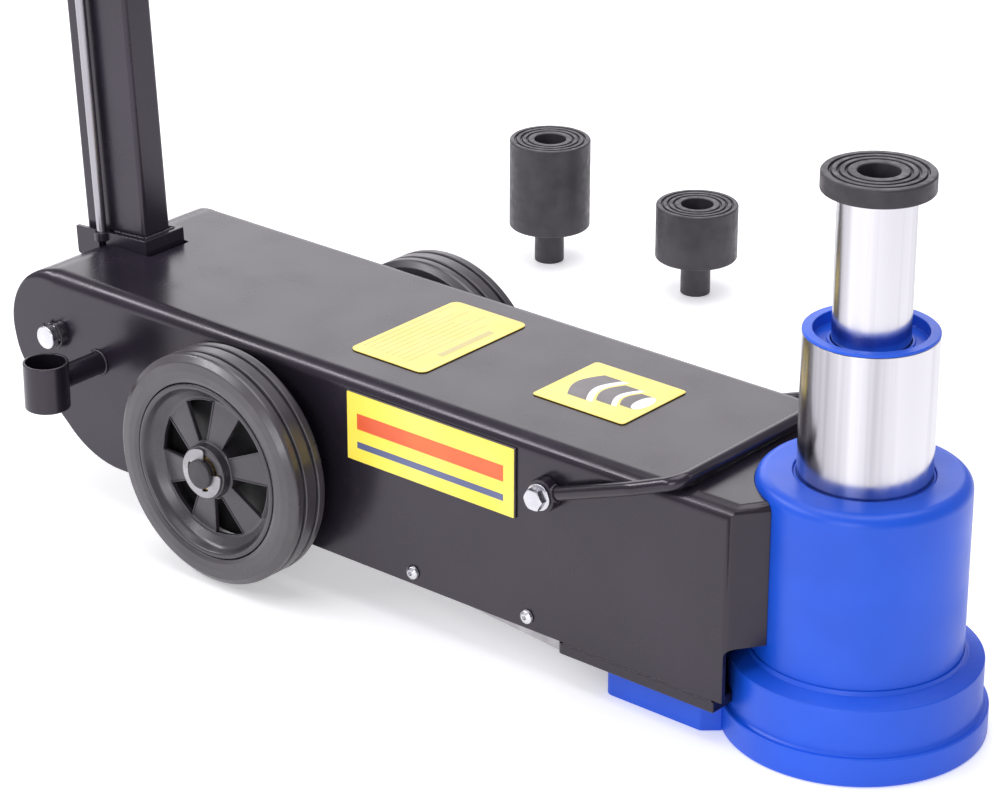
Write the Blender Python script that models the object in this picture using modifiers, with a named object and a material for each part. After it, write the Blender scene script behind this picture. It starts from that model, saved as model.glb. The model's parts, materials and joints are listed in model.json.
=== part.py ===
"""Two-stage air-hydraulic car jack, both stages run out.

Metres, +Z up.  The origin is on the floor, on the axis of the rams.  +X points from the handle to the
rams, and +Y to the jack's left side.  Each moving piece hangs from an empty on its joint's axis.
"""

import math

import bmesh
import bpy
from mathutils import Matrix, Vector

# ---------------------------------------------------------------- driving dimensions
GAP = 0.0003                     # clearance between touching pieces

FOOT_RADIUS = 0.0824
FOOT_HEIGHT = 0.019
COLLAR_RADIUS = 0.0784
COLLAR_HEIGHT = 0.0497
CASTING_TOP = 0.0565
CYLINDER_RADIUS = 0.0655
CYLINDER_TOP = 0.1700
CYLINDER_EDGE = 0.008            # radius of the cylinder's rounded top edge
CYLINDER_MOUTH = 0.0429
RAM_ONE_RADIUS = 0.0410
RAM_ONE_BORE = 0.0352
RAM_ONE_TOP = 0.2604
RAM_TWO_RADIUS = 0.0237
SADDLE_RADIUS = 0.0341
SADDLE_BOTTOM = 0.3493
SADDLE_TOP = 0.3609
STEM_BORE = 0.0127               # hole of the saddle and of the adapters

TONGUE_REAR = -0.1385
TONGUE_HALF_WIDTH = 0.0716
TONGUE_HEIGHT = 0.0227
BASE_PLATE_REAR = -0.168
BASE_PLATE_FRONT = -0.0465
BASE_PLATE_THICKNESS = 0.0075

BODY_HALF_WIDTH = 0.0824
BODY_TOP = 0.1629
BODY_BOTTOM = 0.0318
BODY_BEND = 0.0104               # outer radius of the long folds
SHEET = 0.003
PIVOT_X = -0.614                 # rear cross pin, centre of the body's rounded rear end
PIVOT_Z = 0.118
SLOT_HALF_WIDTH = 0.0194
SLOT_FRONT = -0.584
COVER_SCREWS = (-0.2874, -0.1922)
COVER_SCREW_Z = 0.0405

WHEEL_X = -0.4312
WHEEL_Z = 0.0831
WHEEL_FACE = 0.1261              # distance of the tyre's outer face from the centre plane
TYRE_WIDTH = 0.035
TYRE_RADIUS = 0.0799
RIM_RADIUS = 0.0609
AXLE_RADIUS = 0.010

BAIL_X = -0.176
BAIL_Z = 0.1318
BAIL_ROD = 0.0045
BAIL_REACH = 0.099               # from the eyes forward to the cross bar
BAIL_RISE = 0.0363
BAIL_HALF_WIDTH = 0.0833         # at the bends; the arms spread a little towards the eyes
EYE_WIDTH = 0.0088
EYE_Y = BODY_HALF_WIDTH + GAP + EYE_WIDTH / 2

HANDLE_LEAN = math.radians(3.8)
POST_OFFSET = -0.0068            # from the pivot to the post's axis, along the handle's own X
POST_DEPTH = 0.059
POST_WIDTH = 0.025
POST_BOTTOM = 0.018
POST_TOP = 0.790
BRACKET_HALF_WIDTH = 0.0190
BRACKET_TOP = 0.0530
ROD_X = -0.0145
ROD_Y = -0.0185
ROD_RADIUS = 0.0035
GRIP_Z = 0.842
GRIP_BAR_RADIUS = 0.0110
LEVER_Y = 0.0285
LEVER_Z = 0.811

CUP_X = -0.5730
CUP_Y = -0.1308
CUP_Z = 0.1077
CUP_RADIUS = 0.0155
CUP_HEIGHT = 0.033

ADAPTER_RADIUS = 0.0326
STEM_RADIUS = 0.0119
STEM_LENGTH = 0.0305
TALL_HEAD = 0.0735
SHORT_HEAD = 0.0445
TALL_PLACE = (-0.6306, 0.4747)
SHORT_PLACE = (-0.4971, 0.4952)

PUMP_Z = 0.094
AIR_CYLINDER_REAR = -0.404
PUMP_BLOCK_REAR = -0.262

LARGE_ROUND = 24                 # sides of the large turned pieces
MEDIUM_ROUND = 16
SMALL_ROUND = 12

X_AXIS = (0, math.radians(90), 0)        # turns a piece's own Z axis to +X
Y_AXIS = (math.radians(-90), 0, 0)       # ... to +Y
MINUS_Y_AXIS = (math.radians(90), 0, 0)  # ... to -Y
SIDE_VIEW = (math.radians(90), 0, 0)     # stands an XY outline up in the XZ plane
LEVEL = (math.radians(-90), 0, 0)        # undoes SIDE_VIEW

SIDES = (("right", -1), ("left", 1))
LEVERS = (("release_lever", -1), ("lift_lever", 1))

# ---------------------------------------------------------------- scene and materials
for old in list(bpy.data.objects):
    bpy.data.objects.remove(old, do_unlink=True)

parts = bpy.data.collections.new("car_jack")
cutters = bpy.data.collections.new("cutters")
bpy.context.scene.collection.children.link(parts)
bpy.context.scene.collection.children.link(cutters)


def principled(name, colour, roughness, metallic=0.0):
    material = bpy.data.materials.new(name)
    material.use_nodes = True
    shader = material.node_tree.nodes["Principled BSDF"]
    shader.inputs["Base Color"].default_value = (*colour, 1.0)
    shader.inputs["Roughness"].default_value = roughness
    shader.inputs["Metallic"].default_value = metallic
    return material


BLACK_PAINT = principled("black_paint", (0.055, 0.050, 0.062), 0.28)
BLUE_PAINT = principled("blue_paint", (0.035, 0.110, 0.780), 0.22)
CHROME = principled("chrome", (0.86, 0.86, 0.88), 0.07, 1.0)
STEEL = principled("steel", (0.42, 0.42, 0.43), 0.35, 1.0)
ZINC = principled("zinc", (0.66, 0.66, 0.69), 0.30, 1.0)
BRASS = principled("brass", (0.72, 0.55, 0.25), 0.30, 1.0)
ALUMINIUM = principled("aluminium", (0.70, 0.71, 0.72), 0.35, 1.0)
SEAL_RUBBER = principled("seal_rubber", (0.02, 0.02, 0.02), 0.60)
BLACK_OXIDE = principled("black_oxide", (0.045, 0.040, 0.046), 0.55)
GREY_TYRE = principled("grey_tyre", (0.120, 0.112, 0.130), 0.55)
RIM_PLASTIC = principled("rim_plastic", (0.105, 0.098, 0.112), 0.45)
BLACK_PLASTIC = principled("black_plastic", (0.025, 0.025, 0.028), 0.45)
YELLOW_LABEL = principled("yellow_label", (0.95, 0.82, 0.22), 0.45)


# ---------------------------------------------------------------- modelling helpers
def empty(name, location, rotation=(0, 0, 0)):
    """An empty that stands on a joint's axis."""
    holder = bpy.data.objects.new(name, None)
    holder.empty_display_size = 0.03
    holder.location = location
    holder.rotation_euler = rotation
    parts.objects.link(holder)
    return holder


def place(shape, parent=None, location=(0, 0, 0), rotation=(0, 0, 0), material=None):
    parts.objects.link(shape)
    shape.parent = parent
    shape.location = location
    shape.rotation_euler = rotation
    if material is not None:
        shape.data.materials.append(material)
    return shape


def from_bmesh(name, bm):
    mesh = bpy.data.meshes.new(name)
    bm.to_mesh(mesh)
    bm.free()
    return bpy.data.objects.new(name, mesh)


def block(name, size, bevel=0.0, segments=2):
    """A box centred on its own origin, with its edges rounded."""
    bm = bmesh.new()
    bmesh.ops.create_cube(bm, size=1.0, matrix=Matrix.Diagonal((*size, 1.0)))
    shape = from_bmesh(name, bm)
    if bevel:
        round_edges(shape, bevel, segments)
    return shape


def rod(name, radius, length, sides=SMALL_ROUND, bevel=0.0, tip_radius=None):
    """A round bar centred on its own origin, along its own Z axis."""
    bm = bmesh.new()
    top = radius if tip_radius is None else tip_radius
    bmesh.ops.create_cone(bm, cap_ends=True, segments=sides, radius1=radius, radius2=top, depth=length)
    shape = from_bmesh(name, bm)
    if bevel:
        round_edges(shape, bevel, 1)
    smooth(shape)
    return shape


def bore(name, radius, length, sides=SMALL_ROUND):
    """A cutter for a round hole whose flats all keep clear of the radius."""
    return rod(name, radius / math.cos(math.pi / sides), length, sides)


def smooth(shape, degrees=35):
    shape.data.shade_smooth()
    shape.data.set_sharp_from_angle(angle=math.radians(degrees))


def round_edges(shape, width, segments=2, degrees=50):
    bevel = shape.modifiers.new("rounded_edges", "BEVEL")
    bevel.width = width
    bevel.segments = segments
    bevel.limit_method = "ANGLE"
    bevel.angle_limit = math.radians(degrees)
    return bevel


def turned(name, profile, sides=MEDIUM_ROUND, closed=False):
    """A shape of revolution about Z.  The profile of (radius, height) runs down the outer side."""
    mesh = bpy.data.meshes.new(name)
    count = len(profile)
    edges = [(index, index + 1) for index in range(count - 1)]
    if closed:
        edges.append((count - 1, 0))
    mesh.from_pydata([(radius, 0.0, height) for radius, height in profile], edges, [])
    shape = bpy.data.objects.new(name, mesh)
    screw = shape.modifiers.new("turn", "SCREW")
    screw.axis = "Z"
    screw.steps = sides
    screw.render_steps = sides
    screw.use_merge_vertices = True
    screw.merge_threshold = 0.00001
    screw.use_smooth_shade = True
    return shape


def ring(name, outer, inner, bottom, top, sides=MEDIUM_ROUND):
    """A tube between two heights."""
    profile = [(outer, top), (outer, bottom), (inner, bottom), (inner, top)]
    return turned(name, profile, sides, closed=True)


def arc(centre_x, centre_y, radius, start, end, count):
    """Points on an arc, with the angles in degrees."""
    points = []
    for index in range(count + 1):
        angle = math.radians(start + (end - start) * index / count)
        points.append((centre_x + radius * math.cos(angle), centre_y + radius * math.sin(angle)))
    return points


def rounded(corners, count=4):
    """A closed outline from (x, y, radius) corners, each rounded with its own radius."""
    points = []
    for index, (x, y, radius) in enumerate(corners):
        here = Vector((x, y))
        if radius <= 0:
            points.append((x, y))
            continue
        before = (Vector(corners[index - 1][:2]) - here).normalized()
        after = (Vector(corners[(index + 1) % len(corners)][:2]) - here).normalized()
        half = before.angle(after) / 2
        centre = here + (before + after).normalized() * radius / math.sin(half)
        start = here + before * radius / math.tan(half) - centre
        end = here + after * radius / math.tan(half) - centre
        for step in range(count + 1):
            spoke = start.lerp(end, step / count).normalized() * radius
            points.append(tuple(centre + spoke))
    return points


def rectangle(width, height, radius):
    x = width / 2
    y = height / 2
    return rounded([(-x, -y, radius), (x, -y, radius), (x, y, radius), (-x, y, radius)], 3)


def flat(name, outlines, thickness):
    """A flat piece: closed outlines filled and given a thickness, centred on its own XY plane."""
    curve = bpy.data.curves.new(name, "CURVE")
    curve.dimensions = "2D"
    curve.fill_mode = "BOTH"
    curve.extrude = thickness / 2
    for outline in outlines:
        spline = curve.splines.new("POLY")
        spline.points.add(len(outline) - 1)
        for point, (x, y) in zip(spline.points, outline):
            point.co = (x, y, 0.0, 1.0)
        spline.use_cyclic_u = True
    return as_mesh(bpy.data.objects.new(name, curve))


def bar(name, points, radius, resolution=2):
    """A round bar bent along a smooth route."""
    curve = bpy.data.curves.new(name, "CURVE")
    curve.dimensions = "3D"
    curve.bevel_depth = radius
    curve.bevel_resolution = resolution
    curve.use_fill_caps = True
    spline = curve.splines.new("POLY")
    spline.points.add(len(points) - 1)
    for point, place_at in zip(spline.points, points):
        point.co = (*place_at, 1.0)
    return as_mesh(bpy.data.objects.new(name, curve))


def as_mesh(shape):
    """Turns a curve object into a closed mesh object of the same name."""
    bpy.context.scene.collection.objects.link(shape)
    graph = bpy.context.evaluated_depsgraph_get()
    mesh = bpy.data.meshes.new_from_object(shape.evaluated_get(graph))
    name = shape.name
    bpy.data.objects.remove(shape, do_unlink=True)
    bm = bmesh.new()
    bm.from_mesh(mesh)
    bmesh.ops.remove_doubles(bm, verts=bm.verts, dist=0.00001)
    bmesh.ops.dissolve_limit(bm, angle_limit=math.radians(0.1), verts=bm.verts, edges=bm.edges)
    bmesh.ops.recalc_face_normals(bm, faces=bm.faces)
    bm.to_mesh(mesh)
    bm.free()
    return bpy.data.objects.new(name, mesh)


def combine(shape, tool, operation, location=(0, 0, 0), rotation=(0, 0, 0)):
    """Applies a tool shape, placed in the shape's own frame, with a Boolean modifier."""
    cutters.objects.link(tool)
    tool.name = shape.name + "_" + tool.name
    tool.parent = shape
    tool.location = location
    tool.rotation_euler = rotation
    tool.hide_render = True
    tool.display_type = "WIRE"
    boolean = shape.modifiers.new(tool.name, "BOOLEAN")
    boolean.operation = operation
    boolean.object = tool
    return shape


def cut(shape, tool, location=(0, 0, 0), rotation=(0, 0, 0)):
    return combine(shape, tool, "DIFFERENCE", location, rotation)


def join(shape, tool, location=(0, 0, 0), rotation=(0, 0, 0)):
    return combine(shape, tool, "UNION", location, rotation)


# ---------------------------------------------------------------- hydraulic unit
def base_casting():
    """Round foot and collar, open at the top, with the flat tongue that carries the body."""
    lip = CYLINDER_RADIUS + GAP
    profile = [
        (0.0, 0.014),
        (0.058, 0.014),
        (0.058, CASTING_TOP - 0.008),
        (lip, CASTING_TOP - 0.008),
        (lip, CASTING_TOP),
        (lip + 0.0010, CASTING_TOP),
        (lip + 0.0016, CASTING_TOP - 0.003),
        (COLLAR_RADIUS - 0.0095, COLLAR_HEIGHT + 0.0035),
        (COLLAR_RADIUS, COLLAR_HEIGHT),
        (COLLAR_RADIUS, FOOT_HEIGHT + 0.001),
        (FOOT_RADIUS - 0.001, FOOT_HEIGHT),
        (FOOT_RADIUS, FOOT_HEIGHT - 0.001),
        (FOOT_RADIUS, 0.0015),
        (FOOT_RADIUS - 0.0015, 0.0),
        (0.0, 0.0),
    ]
    casting = turned("base_casting", profile, LARGE_ROUND)
    half = TONGUE_HALF_WIDTH
    outline = rounded([
        (TONGUE_REAR, half, 0.005), (TONGUE_REAR, -half, 0.005), (-0.064, -half, 0),
        (-0.0535, -0.0625, 0), (-0.0605, -0.030, 0), (-0.0605, 0.030, 0),
        (-0.0535, 0.0625, 0), (-0.064, half, 0),
    ])
    tongue = flat("tongue", [outline], TONGUE_HEIGHT)
    round_edges(tongue, 0.001, 1, 70)
    join(casting, tongue, (0, 0, TONGUE_HEIGHT / 2))
    return place(casting, material=BLUE_PAINT)


def outer_cylinder():
    """Blue reservoir cylinder with a rounded top edge and an open lower end."""
    edge = CYLINDER_EDGE
    top = arc(CYLINDER_RADIUS - edge, CYLINDER_TOP - edge, edge, 90, 0, 5)
    bottom = CASTING_TOP - 0.008 + GAP
    inner = CYLINDER_RADIUS - 0.004
    profile = top + [(CYLINDER_RADIUS, bottom), (inner, bottom), (inner, CYLINDER_TOP - 0.014)]
    profile += [(CYLINDER_MOUTH, CYLINDER_TOP - 0.014), (CYLINDER_MOUTH, CYLINDER_TOP - 0.001)]
    profile += [(CYLINDER_MOUTH + 0.001, CYLINDER_TOP)]
    return place(turned("outer_cylinder", profile, LARGE_ROUND, closed=True), material=BLUE_PAINT)


def inner_cylinder():
    top = CYLINDER_TOP - 0.014 - GAP
    tube = ring("inner_cylinder", 0.052, 0.0462, 0.014 + GAP, top, LARGE_ROUND)
    return place(tube, material=STEEL)


def cylinder_wiper():
    seal = ring("cylinder_wiper", CYLINDER_MOUTH - GAP, RAM_ONE_RADIUS + GAP,
                CYLINDER_TOP - 0.012, CYLINDER_TOP - 0.0012, LARGE_ROUND)
    return place(seal, material=BLUE_PAINT)


def ram_one():
    """First stage: chrome tube, piston and seal at its foot, blue nut at its top."""
    bottom = 0.106
    tube = ring("ram_one", RAM_ONE_RADIUS, RAM_ONE_BORE + GAP, bottom, RAM_ONE_TOP, LARGE_ROUND)
    place(tube, STAGE_ONE, material=CHROME)
    outer = 0.0459
    inner = RAM_ONE_RADIUS + GAP
    groove = [(outer, 0.126), (outer, 0.1192), (outer - 0.0028, 0.1192), (outer - 0.0028, 0.1148)]
    groove += [(outer, 0.1148), (outer, 0.108), (inner, 0.108), (inner, 0.126)]
    place(turned("ram_one_piston", groove, LARGE_ROUND, closed=True), STAGE_ONE, material=STEEL)
    seal = ring("ram_one_seal", outer, outer - 0.0025, 0.1151, 0.1189, LARGE_ROUND)
    place(seal, STAGE_ONE, material=SEAL_RUBBER)


def ram_one_nut():
    """Blue nut in the ram's mouth: flat rim, sunk floor and a low lip round the second ram."""
    rim_bottom = RAM_ONE_TOP + GAP
    rim_top = 0.2622
    floor = 0.2548
    wall = 0.0346
    bore = RAM_TWO_RADIUS + 0.0006
    profile = [
        (RAM_ONE_RADIUS - 0.0005, rim_top), (RAM_ONE_RADIUS, rim_top - 0.0005),
        (RAM_ONE_RADIUS, rim_bottom), (RAM_ONE_BORE, rim_bottom),
        (RAM_ONE_BORE, 0.240), (bore, 0.240), (bore, floor + 0.0012), (bore + 0.0018, floor + 0.0012),
        (bore + 0.0018, floor), (wall, floor), (wall, rim_top - 0.0004), (wall + 0.0004, rim_top),
    ]
    place(turned("ram_one_nut", profile, LARGE_ROUND, closed=True), STAGE_ONE, material=BLUE_PAINT)


def ram_two():
    """Second stage: chrome rod with a stepped socket in its top, and its piston and seal."""
    bottom = 0.197
    top = SADDLE_BOTTOM - GAP
    spigot_bore = 0.0165
    profile = [
        (0.0, 0.306), (STEM_BORE, 0.306), (STEM_BORE, top - 0.013), (spigot_bore, top - 0.013),
        (spigot_bore, top), (RAM_TWO_RADIUS - 0.001, top), (RAM_TWO_RADIUS, top - 0.001),
        (RAM_TWO_RADIUS, bottom), (0.0, bottom),
    ]
    place(turned("ram_two", profile, LARGE_ROUND), STAGE_TWO, material=CHROME)
    outer = RAM_ONE_BORE - 0.0001
    inner = RAM_TWO_RADIUS + GAP
    groove = [(outer, 0.213), (outer, 0.2082), (outer - 0.0028, 0.2082), (outer - 0.0028, 0.2038)]
    groove += [(outer, 0.2038), (outer, 0.199), (inner, 0.199), (inner, 0.213)]
    place(turned("ram_two_piston", groove, LARGE_ROUND, closed=True), STAGE_TWO, material=STEEL)
    seal = ring("ram_two_seal", outer, outer - 0.0025, 0.2041, 0.2079, LARGE_ROUND)
    place(seal, STAGE_TWO, material=SEAL_RUBBER)


def grooved_top(radius, top, grooves, depth):
    """Profile of a pad's upper face, from its hole outwards, with concentric grooves."""
    points = [(STEM_BORE, top - 0.001), (STEM_BORE + 0.001, top)]
    for centre in grooves:
        points += [(centre - 0.0009, top), (centre, top - depth), (centre + 0.0009, top)]
    points += [(radius - 0.0012, top), (radius, top - 0.0012)]
    return points


def saddle():
    """Pad with three grooves and a hollow spigot that sits in the second ram."""
    top = grooved_top(SADDLE_RADIUS, SADDLE_TOP, (0.0189, 0.0237, 0.0286), 0.0016)
    spigot = 0.0162
    profile = top + [(SADDLE_RADIUS, SADDLE_BOTTOM + 0.0008), (SADDLE_RADIUS - 0.0008, SADDLE_BOTTOM)]
    profile += [(spigot, SADDLE_BOTTOM), (spigot, SADDLE_BOTTOM - 0.0125)]
    profile.append((STEM_BORE, SADDLE_BOTTOM - 0.0125))
    place(turned("saddle", profile, LARGE_ROUND, closed=True), SADDLE_PIVOT, material=BLACK_OXIDE)


def adapter(name, parent, head):
    """Extension adapter: grooved head with a socket in its top, on a plain stem."""
    top = STEM_LENGTH + head
    pad = grooved_top(ADAPTER_RADIUS, top, (0.0185, 0.0232, 0.0279), 0.0016)
    profile = [(0.0, top - STEM_LENGTH - 0.002), (STEM_BORE, top - STEM_LENGTH - 0.002)] + pad
    profile += [(ADAPTER_RADIUS, STEM_LENGTH + 0.0012), (ADAPTER_RADIUS - 0.0012, STEM_LENGTH)]
    profile += [(STEM_RADIUS, STEM_LENGTH), (STEM_RADIUS, 0.001), (STEM_RADIUS - 0.001, 0.0), (0.0, 0.0)]
    place(turned(name, profile, MEDIUM_ROUND), parent, material=BLACK_OXIDE)


# ---------------------------------------------------------------- body
def body_outline(inset, bottom):
    """Side outline: flat top, rear end rounded about the cross pin, sloping to the flat bottom."""
    radius = BODY_TOP - PIVOT_Z - inset
    nose = 0.02 if inset else -0.004
    rear = arc(PIVOT_X, PIVOT_Z, radius, 90, 229, 12)
    outline = [(nose, bottom), (nose, BODY_TOP - inset)] + rear
    slope = math.tan(math.radians(41))
    outline.append((rear[-1][0] + (rear[-1][1] - bottom) / slope, bottom))
    return outline


def folded_solid(name, inset):
    """The body's outside, or with an inset its hollow.  The long folds tighten round the rear end."""
    solid = flat(name, [body_outline(inset, -0.04)], 2 * (BODY_HALF_WIDTH - inset))
    weights = solid.data.attributes.new("bevel_weight_edge", "FLOAT", "EDGE")
    for edge in solid.data.edges:
        start, end = (solid.data.vertices[index].co for index in edge.vertices)
        if abs(start.z - end.z) > 0.001:
            continue
        middle = (start + end) / 2
        angle = math.degrees(math.atan2(middle.y - PIVOT_Z, middle.x - PIVOT_X)) % 360
        if middle.x > PIVOT_X and middle.y > PIVOT_Z:
            weights.data[edge.index].value = 1.0
        elif 90 < angle < 200:
            weights.data[edge.index].value = 1.0 - 0.8 * min((angle - 90) / 35, 1.0)
    fold = round_edges(solid, BODY_BEND - inset, 3)
    fold.limit_method = "WEIGHT"
    fold.use_clamp_overlap = False
    return solid


def front_corners(inset):
    """Plan outline that cuts the body's two front corners back to the cylinder."""
    side = BODY_HALF_WIDTH + 0.02
    run = Vector((0.0140, 0.0199)).normalized()
    start = Vector((-0.0385, -BODY_HALF_WIDTH)) + Vector((-run.y, run.x)) * inset
    wide = start - run * (side - BODY_HALF_WIDTH) * 1.3
    nose = start + run * 0.062
    right = [(-0.8, wide.y), (wide.x, wide.y), (nose.x, nose.y)]
    return right + [(x, -y) for x, y in reversed(right)]


def body_shell():
    """Folded sheet-steel cover: top, two sides, angled front walls and a wrapped rear end."""
    shell = folded_solid("body_shell", 0.0)
    corner = flat("front_corners", [front_corners(0.0)], 0.5)
    combine(shell, corner, "INTERSECT", rotation=LEVEL)
    hollow = folded_solid("hollow", SHEET)
    inner_corner = flat("inner_corners", [front_corners(SHEET)], 0.5)
    combine(hollow, inner_corner, "INTERSECT", rotation=LEVEL)
    cut(shell, hollow)
    clearance = bore("cylinder_clearance", CYLINDER_RADIUS + GAP, 0.4, LARGE_ROUND * 2)
    cut(shell, clearance, rotation=LEVEL)
    below = block("below_bottom", (0.9, 0.2, 0.3))
    cut(shell, below, (-0.35, BODY_BOTTOM - 0.1, 0))
    notch = flat("front_notch", [rounded([(-0.0405, 0.0, 0), (0.05, 0.0, 0), (0.05, 0.0690, 0),
                                          (-0.0405, 0.0690, 0.006)])], 0.3)
    cut(shell, notch)
    heel = [(-0.70, 0.10), (-0.70, 0.0), (-0.555, 0.0)]
    heel += [(-0.5565 - 0.072 * math.sin(math.radians(a)), 0.1038 - 0.072 * math.cos(math.radians(a)))
             for a in range(0, 42, 6)]
    heel += [(-0.6436, 0.0841), (-0.6600, 0.1000)]
    cut(shell, flat("heel_trim", [heel], 0.3))
    slot_length = 0.12
    slot = block("handle_slot", (slot_length, 0.2, 2 * SLOT_HALF_WIDTH))
    cut(shell, slot, (SLOT_FRONT - slot_length / 2, 0.14, 0))
    rear_opening = block("rear_opening", (0.10, 0.08, 2 * (BODY_HALF_WIDTH - SHEET)))
    cut(shell, rear_opening, (-0.66, 0.064, 0))
    for tool, radius, x, z in (("axle_holes", AXLE_RADIUS, WHEEL_X, WHEEL_Z),
                               ("pin_holes", 0.0082, PIVOT_X, PIVOT_Z),
                               ("bail_holes", 0.0043, BAIL_X, BAIL_Z)):
        cut(shell, bore(tool, radius + GAP, 0.3), (x, z, 0))
    for x in COVER_SCREWS:
        cut(shell, bore("screw_holes", 0.0030 + GAP, 0.3, 10), (x, COVER_SCREW_Z, 0))
    place(shell, rotation=SIDE_VIEW, material=BLACK_PAINT)


def base_plate():
    """Thick plate welded under the side panels, seated on the casting's tongue."""
    half = BODY_HALF_WIDTH
    outline = rounded([(BASE_PLATE_REAR, half, 0.003), (BASE_PLATE_REAR, -half, 0.003),
                       (BASE_PLATE_FRONT, -half, 0.001), (BASE_PLATE_FRONT, half, 0.001)], 2)
    plate = flat("base_plate", [outline], BASE_PLATE_THICKNESS)
    cut(plate, bore("collar_clearance", COLLAR_RADIUS + GAP, 0.05, LARGE_ROUND * 2))
    place(plate, location=(0, 0, TONGUE_HEIGHT + GAP + BASE_PLATE_THICKNESS / 2), material=BLACK_PAINT)


def bottom_cover():
    """Zinc pan under the pump: turned-up sides, floor sloping down to the base plate."""
    half = BODY_HALF_WIDTH - SHEET - GAP
    thickness = 0.0015
    floor = [(-0.540, BODY_BOTTOM), (-0.272, BODY_BOTTOM), (BASE_PLATE_REAR - 0.001, 0.0232)]
    wall_top = 0.050
    outer = floor + [(BASE_PLATE_REAR - 0.001, wall_top), (-0.540, wall_top)]
    pan = flat("bottom_cover", [outer], 2 * half)
    inner = [(x, z + thickness) for x, z in floor]
    inner[0] = (-0.6, inner[0][1])
    inner[2] = (-0.15, inner[1][1] + (inner[2][1] - inner[1][1]) * 1.14)
    inner += [(-0.15, 0.08), (-0.6, 0.08)]
    cut(pan, flat("pan_hollow", [inner], 2 * (half - thickness)))
    for x in COVER_SCREWS:
        cut(pan, bore("screw_holes", 0.0030 + GAP, 0.3, 10), (x, COVER_SCREW_Z, 0))
    place(pan, rotation=SIDE_VIEW, material=ZINC)


def cover_screws():
    """Button-head socket screws, two on each side."""
    number = 0
    for _, side in SIDES:
        for x in COVER_SCREWS:
            number += 1
            dome = [(0.0, 0.0012), (0.0015, 0.0012), (0.0015, 0.0032), (0.0030, 0.0029),
                    (0.0043, 0.0018), (0.0050, 0.0), (0.0030, 0.0), (0.0030, -0.0075), (0.0, -0.0075)]
            screw = turned(f"cover_screw_{number}", dome, 12)
            rotation = Y_AXIS if side > 0 else MINUS_Y_AXIS
            place(screw, None, (x, side * (BODY_HALF_WIDTH + GAP), COVER_SCREW_Z), rotation, ZINC)


def holder_cup():
    """Cup for an adapter's stem, on a short round arm welded to the right side."""
    half = CUP_HEIGHT / 2
    floor = -half + 0.003
    wall = 0.0021
    profile = [(0.0, floor), (CUP_RADIUS - wall, floor), (CUP_RADIUS - wall, half),
               (CUP_RADIUS, half), (CUP_RADIUS, -half), (0.0, -half)]
    cup = turned("holder_cup", profile, MEDIUM_ROUND)
    start = CUP_RADIUS - wall / 2
    length = -CUP_Y - BODY_HALF_WIDTH - GAP - start
    join(cup, rod("arm", 0.0080, length, SMALL_ROUND), (0, start + length / 2, 0), Y_AXIS)
    place(cup, location=(CUP_X, CUP_Y, CUP_Z), material=BLACK_PAINT)


def labels():
    """Three yellow labels: two on the top sheet, and a thicker plate on the right side."""
    sheet = 0.0006
    top = BODY_TOP + GAP + sheet / 2
    large = flat("top_label_large", [rectangle(0.064, 0.106, 0.006)], sheet)
    place(large, location=(-0.3384, 0.0027, top), material=YELLOW_LABEL)
    small = flat("top_label_small", [rectangle(0.0735, 0.0662, 0.003)], sheet)
    place(small, location=(-0.1969, 0.0034, top), material=YELLOW_LABEL)
    plate = 0.0018
    side = flat("side_label_plate", [rectangle(0.1400, 0.0480, 0.0006)], plate)
    place(side, None, (-0.2717, -BODY_HALF_WIDTH - GAP - plate / 2, 0.1299), SIDE_VIEW, YELLOW_LABEL)


# ---------------------------------------------------------------- running gear
def axle():
    """Through axle with a clip groove near each end."""
    groove_depth = 0.0015
    half = []
    for height, radius in ((0.1312, AXLE_RADIUS - 0.001), (0.1302, AXLE_RADIUS), (0.1286, AXLE_RADIUS),
                           (0.1286, AXLE_RADIUS - groove_depth), (0.1266, AXLE_RADIUS - groove_depth),
                           (0.1266, AXLE_RADIUS)):
        half.append((radius, height))
    profile = [(0.0, 0.1312)] + half + [(radius, -height) for radius, height in reversed(half)]
    profile.append((0.0, -0.1312))
    place(turned("axle", profile, SMALL_ROUND + 4), None, (WHEEL_X, 0, WHEEL_Z), Y_AXIS, BLACK_OXIDE)


def clip(name, groove_radius, outer_radius, thickness):
    """Open retaining clip that grips the shaft's groove, its mouth along its own X."""
    mouth = 50
    outer = arc(0, 0, outer_radius, mouth, 360 - mouth, 14)
    inner = arc(0, 0, groove_radius, 360 - mouth - 8, mouth + 8, 12)
    return flat(name, [outer + inner], thickness)


def tyre(name, parent, rotation):
    """Solid tyre with rounded shoulders and two tread grooves.  Its own Z points outwards."""
    half = TYRE_WIDTH / 2
    r = TYRE_RADIUS
    seat = RIM_RADIUS + GAP
    tread = [(seat, half - 0.001), (r - 0.010, half)]
    tread += [(r - 0.0042, half - 0.0006), (r - 0.0012, half - 0.0035)]
    for centre in (0.0055, -0.0055):
        tread += [(r, centre + 0.0018), (r - 0.0022, centre), (r, centre - 0.0018)]
    tread += [(r - 0.0012, -half + 0.0035), (r - 0.0042, -half + 0.0006), (r - 0.010, -half)]
    tread += [(seat, -half + 0.001)]
    place(turned(name, tread, LARGE_ROUND, closed=True), parent, (0, 0, 0), rotation, GREY_TYRE)


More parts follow.
